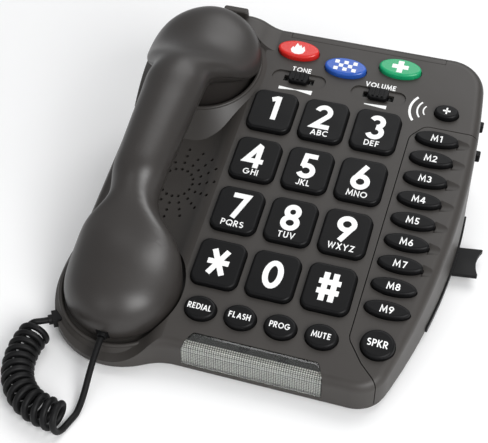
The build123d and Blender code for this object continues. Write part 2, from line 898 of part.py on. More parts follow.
speaker_top = -valley_depth - wall - fit_gap
with BuildPart() as loudspeaker:
    with BuildSketch(face.offset(speaker_top - speaker_frame)):
        with Locations((speaker_x, speaker_u)):
            Circle(speaker_radius)
    extrude(amount=speaker_frame)
    with BuildSketch(face.offset(speaker_top - speaker_frame)) as cone_base:
        with Locations((speaker_x, speaker_u)):
            Circle(speaker_radius - speaker_frame)
    with BuildSketch(face.offset(speaker_top - speaker_depth / 2)):
        with Locations((speaker_x, speaker_u)):
            Circle(speaker_magnet_radius)
    loft()
    with BuildSketch(face.offset(speaker_top - speaker_depth)):
        with Locations((speaker_x, speaker_u)):
            Circle(speaker_magnet_radius)
    extrude(amount=speaker_depth / 2)
loudspeaker.part.label = "loudspeaker"
export_step(loudspeaker.part, "parts/loudspeaker.step")

# Keys: caps through the face, each with a tab under it that keeps the key in
for name, place, outline, tab in keys:
    with BuildPart() as key:
        with BuildSketch(face.offset(key_bottom)):
            with Locations(place):
                outline(0.0)
        extrude(amount=key_proud - key_bottom)
        fillet(key.faces().sort_by(face_axis)[-1].edges(), key_edge_radius)
        with BuildSketch(face.offset(key_bottom)):
            with Locations(place):
                tab()
        extrude(amount=tab_thickness)
    key.part.label = name
    export_step(key.part, f"parts/{name}.step")

# Slide controls
for name, place in slider_places.items():
    with BuildPart() as slider:
        with BuildSketch(face.offset(-slider_recess_depth + slide_gap)):
            with Locations(place):
                RectangleRounded(slider_knob_length, slider_knob_width, slider_knob_width / 3)
        extrude(amount=slider_recess_depth - slide_gap + slider_knob_height)
        fillet(slider.faces().sort_by(face_axis)[-1].edges(), key_edge_radius / 2)
        with BuildSketch(face.offset(key_bottom)):
            with Locations(place):
                Rectangle(slider_stem_length, slider_stem_width)
        extrude(amount=-key_bottom)
        with BuildSketch(face.offset(key_bottom)):
            with Locations(place):
                Rectangle(slider_knob_length, slider_knob_width)
        extrude(amount=tab_thickness)
    slider.part.label = f"{name}_slider"
    export_step(slider.part, f"parts/{name}_slider.step")

# Side switches: a knob through the wall with a flange inside it
flange = (
    switch_knob_length + 2 * switch_flange_margin,
    switch_knob_height + 2 * switch_flange_margin,
)
for name, place in right_switches.items():
    wall_x = side_x(place[0])
    with BuildPart() as switch:
        with BuildSketch(Plane.YZ.offset(wall_x - wall - switch_flange_gap - switch_flange_thickness)):
            with Locations(place):
                Rectangle(*flange)
        extrude(amount=switch_flange_thickness)
        with BuildSketch(Plane.YZ.offset(wall_x - wall - switch_flange_gap)):
            with Locations(place):
                Rectangle(switch_knob_length, switch_knob_height)
        extrude(amount=wall + switch_flange_gap + switch_reach)
        fillet(switch.faces().sort_by(Axis.X)[-1].edges(), key_edge_radius / 2)
    switch.part.label = name
    export_step(switch.part, f"parts/{name}.step")
with BuildPart() as headset_switch:
    with BuildSketch(Plane.YZ.offset(base_left + wall + slide_gap)):
        with Locations(left_switch):
            Rectangle(*flange)
    extrude(amount=switch_flange_thickness)
    with BuildSketch(Plane.YZ.offset(base_left - left_switch_reach)):
        with Locations(left_switch):
            Rectangle(switch_knob_length, switch_knob_height)
    extrude(amount=left_switch_reach + wall + slide_gap)
    fillet(headset_switch.faces().sort_by(Axis.X)[0].edges(), key_edge_radius / 2)
headset_switch.part.label = "headset_switch"
export_step(headset_switch.part, "parts/headset_switch.step")

# Index drawer with its flared pull tab
drawer_body = drawer_slab(0.0, parting_z + drawer_floor_gap, drawer_top, drawer_lip)
with BuildPart() as index_drawer:
    add(drawer_body)
    with BuildSketch(Plane.XY.offset(drawer_top - drawer_recess)):
        with Locations((drawer_left + drawer_rim, (drawer_front + drawer_back) / 2)):
            Rectangle(
                side_x(drawer_front) - 3 * drawer_rim - drawer_left,
                drawer_back - drawer_front - 2 * drawer_rim,
                align=(Align.MIN, Align.CENTER),
            )
    extrude(amount=drawer_recess, mode=Mode.SUBTRACT)
    with BuildSketch(Plane.XY.offset(parting_z + drawer_floor_gap)) as tab_plan:
        with BuildLine():
            root_x = side_x(drawer_back) - wall
            tab_middle = (tab_tip_x - tab_hollow, (tab_tip[0] + tab_tip[1]) / 2)
            ThreePointArc((tab_tip_x, tab_tip[0]), tab_middle, (tab_tip_x, tab_tip[1]))
            Polyline(
                (tab_tip_x, tab_tip[1]),
                (root_x, tab_root[1]),
                (root_x, tab_root[0]),
                (tab_tip_x, tab_tip[0]),
            )
        make_face()
        fillet(tab_plan.vertices().sort_by(Axis.X)[-2:], least_radius)
    extrude(amount=tab_bar)
index_drawer.part.label = "index_drawer"
export_step(index_drawer.part, "parts/index_drawer.step")

# Hook switch plunger in the ear well
plunger_top = well_floor - plunger_sunk
with BuildPart() as hook_plunger:
    with BuildSketch(face.offset(plunger_top - plunger_length)):
        with Locations((handset_x, ear_u)):
            Circle(plunger_radius)
    extrude(amount=plunger_length)
    fillet(hook_plunger.faces().sort_by(face_axis)[-1].edges(), key_edge_radius)
    with BuildSketch(face.offset(well_floor - wall - plunger_rise - slide_gap - plunger_flange)):
        with Locations((handset_x, ear_u)):
            Circle(plunger_radius + plunger_flange)
    extrude(amount=plunger_flange)
hook_plunger.part.label = "hook_plunger"
export_step(hook_plunger.part, "parts/hook_plunger.step")


# Handset: its outline and heights along the slope
def smooth_step(value):
    """Even rise from 0 to 1 with no change of curvature at either end."""
    t = min(max(value, 0.0), 1.0)
    return t**3 * (10 - 15 * t + 6 * t * t)


def end_closure(u):
    """1 along the handset, falling to 0 in a quarter ellipse at each tip."""
    reach = max((mouth_u - u) / mouth_tip, (u - ear_u) / ear_tip, 0.0)
    return math.sqrt(max(1 - reach**2, 0.0))


def half_width(u):
    """Half width: two round lobes softly joined to a tapering grip."""
    along = min(max((u - mouth_u) / (ear_u - mouth_u), 0.0), 1.0)
    grip = grip_half_mouth + (grip_half_ear - grip_half_mouth) * along
    mouth = math.sqrt(max(lobe_radius**2 - max(u - mouth_u, 0.0) ** 2, 0.0))
    ear = math.sqrt(max(lobe_radius**2 - max(ear_u - u, 0.0) ** 2, 0.0))
    total = grip**blend_power + mouth**blend_power + ear**blend_power
    return total ** (1 / blend_power) * end_closure(u)


def along_handset(u, mouth_value, grip_value, ear_value):
    """Value that runs level over the mouth lobe, the grip and the ear lobe, with smooth ramps."""
    leave_mouth = smooth_step((u - mouth_u) / mouth_ramp + ramp_lead)
    reach_ear = smooth_step((u - ear_u) / ear_ramp + 1 - ramp_lead)
    mouth_share = (mouth_value - grip_value) * (1 - leave_mouth)
    ear_share = (ear_value - grip_value) * reach_ear
    return grip_value + mouth_share + ear_share


def parting(u):
    """Height of the joint between the shells."""
    return along_handset(u, mouth_parting, grip_parting, ear_parting)


def rise(u):
    """Height of the back shell over the joint."""
    return along_handset(u, end_rise, grip_rise, end_rise) * end_closure(u) ** 0.8


def drop(u):
    """Depth of the front shell under the joint."""
    return along_handset(u, mouth_drop, grip_drop, ear_drop) * end_closure(u) ** 0.5


tip_angles = [math.radians(angle) for angle in (83, 72, 60, 45, 25)]
inner_angles = tip_angles[2:]
middle = [mouth_u + (ear_u - mouth_u) * step / grip_stations for step in range(grip_stations + 1)]


def stations(angles):
    """Places of the lofted sections: close together round the tips, even along the grip."""
    mouth_end = [mouth_u - mouth_tip * math.sin(angle) for angle in angles]
    ear_end = [ear_u + ear_tip * math.sin(angle) for angle in reversed(angles)]
    return mouth_end + middle + ear_end


def handset_loft(side, places, inset):
    """Upper (side 1) or lower (side -1) half of the handset as a loft of half ellipses."""
    start = 0 if side > 0 else 180
    with BuildPart() as half:
        for u in places:
            height = (rise(u) if side > 0 else drop(u)) - inset
            width = half_width(u) - inset
            centre = on_face(handset_x, u, parting(u) + side * parting_gap / 2)
            with BuildSketch(Plane(origin=centre, x_dir=(1, 0, 0), z_dir=-up_slope)):
                with BuildLine():
                    dome = EllipticalCenterArc((0, 0), width, height, start_angle=start, arc_size=180)
                    past = Vector(0, -side * inset)
                    if inset == 0:
                        Line(dome @ 1, dome @ 0)
                    else:
                        Polyline(dome @ 1, dome @ 1 + past, dome @ 0 + past, dome @ 0)
                make_face()
        loft()
    return half.part


upper_form = handset_loft(1, stations(tip_angles), 0.0)
lower_form = handset_loft(-1, stations(tip_angles), 0.0)
upper_hollow = handset_loft(1, stations(inner_angles), handset_wall)
lower_hollow = handset_loft(-1, stations(inner_angles), handset_wall)
cup_bottom = well_floor + handset_rest_gap

with BuildPart() as cup_envelope:
    for u in stations(inner_angles):
        top = parting(u) - parting_gap
        with BuildSketch(Plane(origin=on_face(handset_x, u, top), x_dir=(1, 0, 0), z_dir=-up_slope)):
            Rectangle(2 * half_width(u), top - 2 * well_floor, align=(Align.CENTER, Align.MAX))
    loft(ruled=True)

with BuildPart() as cups:
    with BuildSketch(face.offset(cup_bottom)):
        with Locations((handset_x, mouth_u)):
            Circle(mouth_cup_radius)
        with Locations((handset_x, ear_u)):
            Circle(ear_cup_radius)
    extrude(amount=grip_parting)
    add(cup_envelope.part, mode=Mode.INTERSECT)

plug_tip = mouth_u - mouth_tip
plug_section = Plane(origin=on_face(handset_x, plug_tip, handset_plug_v), x_dir=(1, 0, 0), z_dir=-up_slope)
with BuildPart() as plug_pocket:
    with BuildSketch(plug_section.offset(-handset_plug_length - fit_gap)):
        Rectangle(handset_plug_width + 2 * fit_gap, handset_plug_height + 2 * fit_gap)
    extrude(amount=2 * handset_plug_length)

screw_seats = [(u, parting(u) - drop(u) + handset_screw_sink) for u in handset_screw_u]
with BuildPart() as handset_bosses:
    for u, seat in screw_seats:
        with BuildSketch(face.offset(seat - handset_screw_sink)):
            with Locations((handset_x, u)):
                Circle(handset_boss_radius)
        extrude(amount=grip_drop + grip_rise)
upper_bosses = upper_form.intersect(handset_bosses.part)
lower_bosses = lower_form.intersect(handset_bosses.part)

with BuildPart() as handset_back_shell:
    add(upper_form)
    add(upper_hollow, mode=Mode.SUBTRACT)
    add(upper_bosses)
    add(plug_pocket.part, mode=Mode.SUBTRACT)
    for u, seat in screw_seats:
        with BuildSketch(face.offset(seat)):
            with Locations((handset_x, u)):
                Circle(screw_radius)
        extrude(amount=handset_screw_length, mode=Mode.SUBTRACT)
handset_back_shell.part.label = "handset_back_shell"
export_step(handset_back_shell.part, "parts/handset_back_shell.step")

with BuildPart() as handset_front_shell:
    add(lower_form)
    add(cups.part)
    add(lower_hollow, mode=Mode.SUBTRACT)
    add(lower_bosses)
    with BuildSketch(face.offset(cup_bottom + cup_floor)):
        with Locations((handset_x, mouth_u)):
            Circle(mouth_cup_radius - handset_wall)
        with Locations((handset_x, ear_u)):
            Circle(receiver_radius + fit_gap)
    extrude(amount=grip_parting, mode=Mode.SUBTRACT)
    with BuildSketch(face.offset(cup_bottom)):
        with Locations((handset_x, ear_u)):
            with PolarLocations(receiver_radius / 2, sound_holes):
                Circle(sound_hole_radius)
        with Locations((handset_x, mouth_u)):
            with PolarLocations(microphone_radius / 2, sound_holes // 2):
                Circle(sound_hole_radius)
    extrude(amount=cup_floor, mode=Mode.SUBTRACT)
    add(plug_pocket.part, mode=Mode.SUBTRACT)
    for u, seat in screw_seats:
        with BuildSketch(face.offset(seat)):
            with Locations((handset_x, u)):
                Circle(screw_radius + fit_gap / 2)
        extrude(amount=handset_screw_length, mode=Mode.SUBTRACT)
        with BuildSketch(face.offset(seat - 2 * handset_screw_sink)):
            with Locations((handset_x, u)):
                Circle(screw_head_radius + fit_gap)
        extrude(amount=2 * handset_screw_sink, mode=Mode.SUBTRACT)
handset_front_shell.part.label = "handset_front_shell"
export_step(handset_front_shell.part, "parts/handset_front_shell.step")

with BuildPart() as handset_screws:
    for u, seat in screw_seats:
        with BuildSketch(face.offset(seat - screw_head_height)):
            with Locations((handset_x, u)):
                Circle(screw_head_radius)
        extrude(amount=screw_head_height)
        with BuildSketch(face.offset(seat)):
            with Locations((handset_x, u)):
                Circle(screw_radius)
        extrude(amount=handset_screw_length)
handset_screws.part.label = "handset_screws"
export_step(handset_screws.part, "parts/handset_screws.step")

with BuildPart() as receiver_capsule:
    with BuildSketch(face.offset(cup_bottom + cup_floor)):
        with Locations((handset_x, ear_u)):
            Circle(receiver_radius)
    extrude(amount=receiver_height)
receiver_capsule.part.label = "receiver_capsule"
export_step(receiver_capsule.part, "parts/receiver_capsule.step")

with BuildPart() as microphone_capsule:
    with BuildSketch(face.offset(cup_bottom + cup_floor)):
        with Locations((handset_x, mouth_u)):
            Circle(microphone_radius)
    extrude(amount=microphone_height)
microphone_capsule.part.label = "microphone_capsule"
export_step(microphone_capsule.part, "parts/microphone_capsule.step")

with BuildPart() as cord_handset_plug:
    with BuildSketch(plug_section.offset(-handset_plug_length)):
        Rectangle(handset_plug_width, handset_plug_height)
    extrude(amount=handset_plug_length)
    with BuildSketch(plug_section):
        Circle(wire_diameter / 2 + cord_boot_wall)
    extrude(amount=handset_plug_boot)
cord_handset_plug.part.label = "cord_handset_plug"
export_step(cord_handset_plug.part, "parts/cord_handset_plug.step")

with BuildPart() as cord_base_plug:
    with BuildSketch(socket_plane.offset(-cord_plug_depth)):
        Rectangle(cord_plug_width, cord_plug_height)
    extrude(amount=cord_plug_depth + cord_plug_reach / 2)
    with BuildSketch(socket_plane):
        Circle(wire_diameter / 2 + cord_boot_wall)
    extrude(amount=cord_plug_reach)
cord_base_plug.part.label = "cord_base_plug"
export_step(cord_base_plug.part, "parts/cord_base_plug.step")


# Curly cord: a helix round a centre line on the table, from the base plug to the tail
def corner_radii(points):
    """Largest fillets that the runs beside each corner of a cord's route allow."""
    radii = []
    for before, corner, after in zip(points, points[1:], points[2:]):
        first = Vector(corner) - Vector(before)
        second = Vector(after) - Vector(corner)
        half_turn = math.radians(first.get_angle(second)) / 2
        radii.append(0.45 * min(first.length, second.length) / math.tan(half_turn))
    return radii


coil_radius = (coil_diameter - wire_diameter) / 2
coil_z = coil_diameter / 2 + coil_floor_gap
with BuildLine() as coil_route:
    FilletPolyline(*coil_points, radius=corner_radii(coil_points))
coil_line = coil_route.wire()
coil_turns = round(coil_line.length / coil_pitch - 0.25) + 0.25
print("coil route radii", [round(r, 1) for r in corner_radii(coil_points)], "turns", coil_turns)


def coil_point(along):
    """Point of the wire's centre after a share of the coil; turns loosen towards the handset end."""
    centre = coil_line.position_at(along)
    heading = coil_line.tangent_at(along)
    right = heading.cross(Vector(0, 0, 1)).normalized()
    loose = along - coil_loosening * along * along * along / 3
    turn = math.radians(90) + math.tau * coil_turns * loose / (1 - coil_loosening / 3)
    offset_up = Vector(0, 0, coil_z + coil_radius * math.cos(turn))
    return centre + offset_up + right * (coil_radius * math.sin(turn))


def coil_tangent(along):
    """Heading of the wire after a share of the coil."""
    step = 0.0005
    low = max(along - step, 0.0)
    high = min(along + step, 1.0)
    return (coil_point(high) - coil_point(low)).normalized()


def biarc(start, start_way, end, end_way):
    """Two tangent arcs from one point and heading to another, as three-point arcs."""
    span = end - start
    ways = start_way + end_way
    a = 2 * (1 - start_way.dot(end_way))
    b = 2 * span.dot(ways)
    c = -span.dot(span)
    reach = -c / b if a < 1e-9 else (-b + math.sqrt(b * b - 4 * a * c)) / (2 * a)
    first = start + start_way * reach
    second = end - end_way * reach
    joint = (first + second) * 0.5
    arcs = []
    for p, q, r in ((start, first, joint), (joint, second, end)):
        weight = (r - p).length / 2 / reach
        arcs.append((p, (p + q * (2 * weight) + r) * (1 / (2 + 2 * weight)), r))
    return arcs


quarter_turns = round(coil_turns * 4)
coil_places = [index / quarter_turns for index in range(quarter_turns + 1)]
plug_exit = socket_centre + socket_normal * cord_plug_reach
lead_end = plug_exit + socket_normal * wire_diameter
nodes = [(lead_end, socket_normal)] + [(coil_point(t), coil_tangent(t)) for t in coil_places]
arcs = []
for (start, start_way), (end, end_way) in zip(nodes, nodes[1:]):
    arcs.extend(biarc(start, start_way, end, end_way))
coil_end = nodes[-1][0]

with BuildPart() as handset_cord_coil:
    with BuildLine() as coil_path:
        Line(plug_exit, lead_end)
        for start, middle_point, end in arcs:
            ThreePointArc(start, middle_point, end)
        Line(coil_end, coil_end + nodes[-1][1] * wire_diameter)
    with BuildSketch(Plane(origin=plug_exit, z_dir=socket_normal)):
        Circle(wire_diameter / 2)
    sweep()
handset_cord_coil.part.label = "handset_cord_coil"
export_step(handset_cord_coil.part, "parts/handset_cord_coil.step")
path_length = coil_path.wire().length
section = math.pi * wire_diameter**2 / 4
print("coil volume", round(handset_cord_coil.part.volume), "of", round(section * path_length))
samples = [coil_path.wire().position_at(k / 1200) for k in range(1201)]
spacing = path_length / 1200
skip = math.ceil(math.pi * coil_radius / spacing)
least = min(
    (p - q).length for i, p in enumerate(samples) for q in samples[i + skip : i + 4 * skip]
)
print("coil least gap to itself", round(least - wire_diameter, 2), "mm, length", round(path_length))

# Straight tail of the cord, from the coil up to the handset's mouth end
tail_start = coil_end + nodes[-1][1] * wire_diameter
tail_end = on_face(handset_x, plug_tip - handset_plug_boot, handset_plug_v)
tail_points = [
    tail_start,
    tail_start + nodes[-1][1] * tail_table_run,
    tail_end - up_slope * tail_plug_run,
    tail_end,
]
print("tail radii", [round(r, 1) for r in corner_radii(tail_points)])
with BuildPart() as handset_cord_tail:
    with BuildLine() as tail_path:
        FilletPolyline(*tail_points, radius=corner_radii(tail_points))
    with BuildSketch(Plane(origin=tail_start, z_dir=nodes[-1][1])):
        Circle(wire_diameter / 2)
    sweep()
handset_cord_tail.part.label = "handset_cord_tail"
export_step(handset_cord_tail.part, "parts/handset_cord_tail.step")
tail_volume = section * tail_path.wire().length
print("tail volume", round(handset_cord_tail.part.volume), "of", round(tail_volume))
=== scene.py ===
"""Looks of a big-button corded desk telephone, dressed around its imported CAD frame."""

import logging
import math
from dataclasses import dataclass, field
from enum import Enum

import bmesh
import bpy
from mathutils import Matrix, Vector

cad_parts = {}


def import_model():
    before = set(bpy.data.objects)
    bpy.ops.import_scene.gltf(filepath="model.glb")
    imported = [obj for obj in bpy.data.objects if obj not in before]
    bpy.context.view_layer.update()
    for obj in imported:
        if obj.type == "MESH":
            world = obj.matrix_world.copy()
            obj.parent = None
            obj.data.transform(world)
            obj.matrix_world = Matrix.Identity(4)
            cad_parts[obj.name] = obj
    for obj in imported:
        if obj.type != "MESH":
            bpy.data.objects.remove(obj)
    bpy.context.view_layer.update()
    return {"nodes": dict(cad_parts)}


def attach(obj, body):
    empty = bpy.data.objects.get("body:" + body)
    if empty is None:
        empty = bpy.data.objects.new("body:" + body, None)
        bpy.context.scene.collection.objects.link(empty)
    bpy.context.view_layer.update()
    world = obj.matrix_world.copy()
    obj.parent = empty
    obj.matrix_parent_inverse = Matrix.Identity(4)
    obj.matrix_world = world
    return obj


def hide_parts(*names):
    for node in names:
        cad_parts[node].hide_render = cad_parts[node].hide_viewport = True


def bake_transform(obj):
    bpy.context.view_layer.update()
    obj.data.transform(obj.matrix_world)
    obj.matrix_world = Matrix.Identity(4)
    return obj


log = logging.getLogger("desk_phone")

Place = tuple[float, float, float]
Spot = tuple[float, float]
Stroke = tuple[list[Vector], bool]

MM = 0.001
# The sloping face: print and keys are placed across it, up it and out of it
FACE_ORIGIN_MM = Vector((6.5, -1.6, 45.0))
FACE_TILT = math.radians(16.0)
FACE = Matrix.Translation(FACE_ORIGIN_MM * MM) @ Matrix.Rotation(FACE_TILT, 4, "X")

PATCH_RANGE = (0.3, 0.7)
PLASTIC_IOR = 1.5
CLEAR_IOR = 1.58
ROUTE_ORDER = 3
BOW_STEPS = 24
ARC_STEPS = 12
ONE_ROW_MM = 1.0


def linear(hex_code: str) -> tuple[float, float, float, float]:
    """Linear RGBA of an sRGB hex colour.

    Args:
        hex_code: Colour such as "#55514e".

    Returns:
        Red, green, blue and alpha for a node socket.
    """
    parts = [int(hex_code[i : i + 2], 16) / 255 for i in (1, 3, 5)]
    curve = [c / 12.92 if c <= 0.04045 else ((c + 0.055) / 1.055) ** 2.4 for c in parts]
    return (*curve, 1.0)


def add_node(
    tree: bpy.types.NodeTree, kind: str, sockets: dict | None = None, **settings: object
) -> bpy.types.Node:
    """Add one node to a shader or geometry tree.

    Args:
        tree: Tree that gets the node.
        kind: Node type name.
        sockets: Input name or index to a value, or to an output socket to link.
        settings: Attributes of the node.

    Returns:
        The new node.
    """
    node = tree.nodes.new(kind)
    for name, value in settings.items():
        setattr(node, name, value)
    for key, value in (sockets or {}).items():
        if isinstance(value, bpy.types.NodeSocket):
            tree.links.new(value, node.inputs[key])
        else:
            node.inputs[key].default_value = value
    return node


class Surface(Enum):
    """How a finish meets the light."""

    PLASTIC = "plastic"
    CLEAR = "clear"
    METAL = "metal"


@dataclass(frozen=True)
class Finish:
    """A procedural material: two close tones in soft patches, a fine grain and uneven gloss."""

    name: str
    tone: str
    other_tone: str
    patch_mm: float
    grain_mm: float
    grain_depth_mm: float
    gloss_low: float
    gloss_high: float
    surface: Surface = Surface.PLASTIC
    shine: float = 0.5
    lattice_mm: float = 0.0
    groove_share: float = 0.28
    # Shade painted into the lattice's grooves, and the dark band, take this tone
    groove_tone: str = "#2b2a28"
    dark_from_mm: float = 0.0

    def lattice(self, tree: bpy.types.NodeTree, place: bpy.types.NodeSocket) -> bpy.types.NodeSocket:
        """Mask of painted shade in fine crossed grooves, and of the dark band over them.

        Args:
            tree: Tree of the material.
            place: Object coordinates.

        Returns:
            1 in the grooves and the band, 0 on the facets.
        """
        axes = add_node(tree, "ShaderNodeSeparateXYZ", {"Vector": place}).outputs
        maths = "ShaderNodeMath"
        climb = add_node(tree, maths, {0: axes["Y"], 1: axes["Z"]}, operation="ADD").outputs[0]
        edge = self.dark_from_mm * MM
        mask = add_node(tree, maths, {0: climb, 1: edge}, operation="GREATER_THAN").outputs[0]
        per_metre = 1 / (self.lattice_mm * MM)
        for way in (axes["X"], climb):
            steps = add_node(tree, maths, {0: way, 1: per_metre}, operation="MULTIPLY").outputs[0]
            part = add_node(tree, maths, {0: steps}, operation="FRACT").outputs[0]
            cut = add_node(tree, maths, {0: part, 1: self.groove_share}, operation="LESS_THAN").outputs[0]
            mask = add_node(tree, maths, {0: mask, 1: cut}, operation="MAXIMUM").outputs[0]
        return mask

    def material(self) -> bpy.types.Material:
        """Build the node tree.

        Returns:
            The material, one per finish name.
        """
        made = bpy.data.materials.get(self.name)
        if made:
            return made
        made = bpy.data.materials.new(self.name)
        made.use_nodes = True
        tree = made.node_tree
        tree.nodes.clear()
        place = add_node(tree, "ShaderNodeTexCoord").outputs["Object"]
        noise = "ShaderNodeTexNoise"
        per_patch = 1 / (self.patch_mm * MM)
        patches = add_node(tree, noise, {"Vector": place, "Scale": per_patch, "Detail": 3.0})
        per_grain = 1 / (self.grain_mm * MM)
        grain = add_node(tree, noise, {"Vector": place, "Scale": per_grain, "Detail": 2.0})
        tone = add_node(tree, "ShaderNodeMix", {"Factor": patches.outputs["Fac"]}, data_type="RGBA")
        tone.inputs["A"].default_value = linear(self.tone)
        tone.inputs["B"].default_value = linear(self.other_tone)
        shown = tone.outputs["Result"]
        if self.lattice_mm:
            # Shade painted dark into the reflector's grooves, and its dark band
            mask = self.lattice(tree, place)
            shaded_grooves = add_node(tree, "ShaderNodeMix", {"Factor": mask}, data_type="RGBA")
            tree.links.new(shown, shaded_grooves.inputs["A"])
            shaded_grooves.inputs["B"].default_value = linear(self.groove_tone)
            shown = shaded_grooves.outputs["Result"]
        gloss = add_node(
            tree,
            "ShaderNodeMapRange",
            {
                "Value": patches.outputs["Fac"],
                "From Min": PATCH_RANGE[0],
                "From Max": PATCH_RANGE[1],
                "To Min": self.gloss_low,
                "To Max": self.gloss_high,
            },
        )
        bump = add_node(
            tree,
            "ShaderNodeBump",
            {"Height": grain.outputs["Fac"], "Strength": 1.0, "Distance": self.grain_depth_mm * MM},
        )
        shader = add_node(
            tree,
            "ShaderNodeBsdfPrincipled",
            {
                "Base Color": shown,
                "Roughness": gloss.outputs["Result"],
                "Normal": bump.outputs["Normal"],
                "Specular IOR Level": self.shine,
                "Metallic": 1.0 if self.surface is Surface.METAL else 0.0,
                "Transmission Weight": 1.0 if self.surface is Surface.CLEAR else 0.0,
                "IOR": CLEAR_IOR if self.surface is Surface.CLEAR else PLASTIC_IOR,
            },
        )
        add_node(tree, "ShaderNodeOutputMaterial", {"Surface": shader.outputs["BSDF"]})
        return made


@dataclass(frozen=True)
class Palette:
    """Every finish of the telephone."""

    # Satin spark-eroded housing plastic: warm charcoal with a faint sparkle in the highlights.
    housing: Finish = Finish(
        "moulded_abs_charcoal", "#34312f", "#3b3835", 30, 0.35, 0.012, 0.42, 0.52, shine=0.4
    )
    # Handset plastic: the same plastic as the housing, its tones painted darker as shade, polished finer,
    # so it takes broad soft highlights.
    handset: Finish = Finish("moulded_abs_handset_shaded", "#2b2826", "#312e2c", 40, 0.5, 0.006, 0.36, 0.44)
    # Key caps: near-black satin with a slightly rubbed top.
    key: Finish = Finish(
        "key_cap_abs_black", "#0c0c0d", "#111112", 12, 0.3, 0.008, 0.36, 0.46, shine=0.16
    )
    # Help key caps: strong glossy colours that stand out from the charcoal.
    red: Finish = Finish("key_cap_abs_red", "#c9201c", "#d52a22", 10, 0.3, 0.006, 0.22, 0.32)
    blue: Finish = Finish("key_cap_abs_blue", "#2350a8", "#2b5cb8", 10, 0.3, 0.006, 0.22, 0.32)
    green: Finish = Finish("key_cap_abs_green", "#0d9660", "#16a26b", 10, 0.3, 0.006, 0.22, 0.32)
    # Pad-printed ink: dead white, a little chalky.
    ink: Finish = Finish("pad_print_ink_white", "#f4f4f2", "#e9eaea", 3, 0.2, 0.004, 0.5, 0.65)
    # Window: clear polycarbonate with a faint flow in its gloss.
    window: Finish = Finish(
        "clear_polycarbonate", "#f2f4f2", "#e6e9e6", 15, 1.0, 0.004, 0.04, 0.10, Surface.CLEAR
    )
    # Reflector behind the window: pale plate cut into small square facets, with shade painted dark into
    # the grooves between them, dark over the lamps.
    reflector: Finish = Finish(
        "reflector_abs_faceted",
        "#f0efe9",
        "#e0dfd9",
        6,
        0.4,
        0.01,
        0.2,
        0.4,
        lattice_mm=1.15,
        dark_from_mm=-69.0,
    )
    # Lamps in the dark band: milky epoxy.
    lamp: Finish = Finish("lamp_epoxy_milky", "#f3f2ea", "#e4e3da", 2, 0.3, 0.004, 0.15, 0.25)
    # Name card: uncoated paper, with thin grey rules.
    paper: Finish = Finish("card_paper_white", "#f1f0ea", "#e8e7e0", 8, 0.3, 0.01, 0.75, 0.90)
    rule: Finish = Finish("card_ink_grey", "#6f7478", "#7b8084", 4, 0.2, 0.004, 0.50, 0.65)
    # Sockets: dull black nylon, darker than the panel round them.
    socket: Finish = Finish("socket_nylon_black", "#141415", "#1b1b1d", 8, 0.3, 0.008, 0.40, 0.52)
    # Cord jacket: matte PVC with a dusty bloom.
    cord: Finish = Finish("cord_pvc_black", "#0a0a0b", "#0f0f10", 6, 0.25, 0.01, 0.46, 0.58, shine=0.22)
    # Feet: rough black rubber without a highlight.
    foot: Finish = Finish("foot_rubber_black", "#151515", "#1d1d1c", 5, 0.4, 0.03, 0.70, 0.85)
    # Inside: soft grey silicone, mottled green board, brushed steel and dull capsule cans.
    mat: Finish = Finish("silicone_mat_grey", "#8d8f8e", "#9a9c9b", 9, 0.5, 0.02, 0.55, 0.70)
    board: Finish = Finish("circuit_board_green", "#0f4a2b", "#1a6b3f", 2, 0.4, 0.02, 0.30, 0.45)
    steel: Finish = Finish(
        "screw_steel", "#9b9c9e", "#85878a", 2, 0.15, 0.01, 0.28, 0.42, Surface.METAL
    )
    capsule: Finish = Finish(
        "capsule_metal", "#b3b1aa", "#a19f99", 4, 0.2, 0.01, 0.32, 0.46, Surface.METAL
    )
    # Floor: plain white paper, almost without texture.
    floor: Finish = Finish("floor_paper_white", "#fbfbfb", "#f6f6f6", 400, 1.0, 0.002, 0.8, 0.9)


def new_piece(name: str, mesh: bpy.types.Mesh, finish: Finish) -> bpy.types.Object:
    """Link a mesh as a piece of the telephone.

    Args:
        name: Piece name.
        mesh: Mesh with its place in its vertices.
        finish: Its material.

    Returns:
        The linked object.
    """
    mesh.name = name
    mesh.materials.clear()
    mesh.materials.append(finish.material())
    piece = bpy.data.objects.new(name, mesh)
    bpy.context.scene.collection.objects.link(piece)
    return piece


def baked_mesh(source: bpy.types.Object) -> bpy.types.Mesh:
    """Plain mesh of a curve or of an object with a modifier, which is then removed.

    Args:
        source: Linked object.

    Returns:
        Its evaluated mesh.
    """
    graph = bpy.context.evaluated_depsgraph_get()
    mesh = bpy.data.meshes.new_from_object(source.evaluated_get(graph))
    bpy.data.objects.remove(source)
    return mesh


def mesh_of(name: str, shape: bmesh.types.BMesh) -> bpy.types.Mesh:
    """Mesh of a built shape, which is then freed.

    Args:
        name: Mesh name.
        shape: The shape.

    Returns:
        The mesh.
    """
    mesh = bpy.data.meshes.new(name)
    shape.to_mesh(mesh)
    shape.free()
    return mesh


def bridge(shape: bmesh.types.BMesh, rings: list[list[bmesh.types.BMVert]], closed: bool) -> None:
    """Skin a row of rings with quads, and cap its ends if it doesn't close on itself.

    Args:
        shape: Shape that holds the rings.
        rings: Rings of points, all with as many points.
        closed: Whether the last ring joins the first.
    """
    count = len(rings[0])
    for near, far in zip(rings, rings[1:] + (rings[:1] if closed else [])):
        for k in range(count):
            after = (k + 1) % count
            shape.faces.new((near[k], near[after], far[after], far[k]))
    if not closed:
        shape.faces.new(rings[0])
        shape.faces.new(rings[-1])


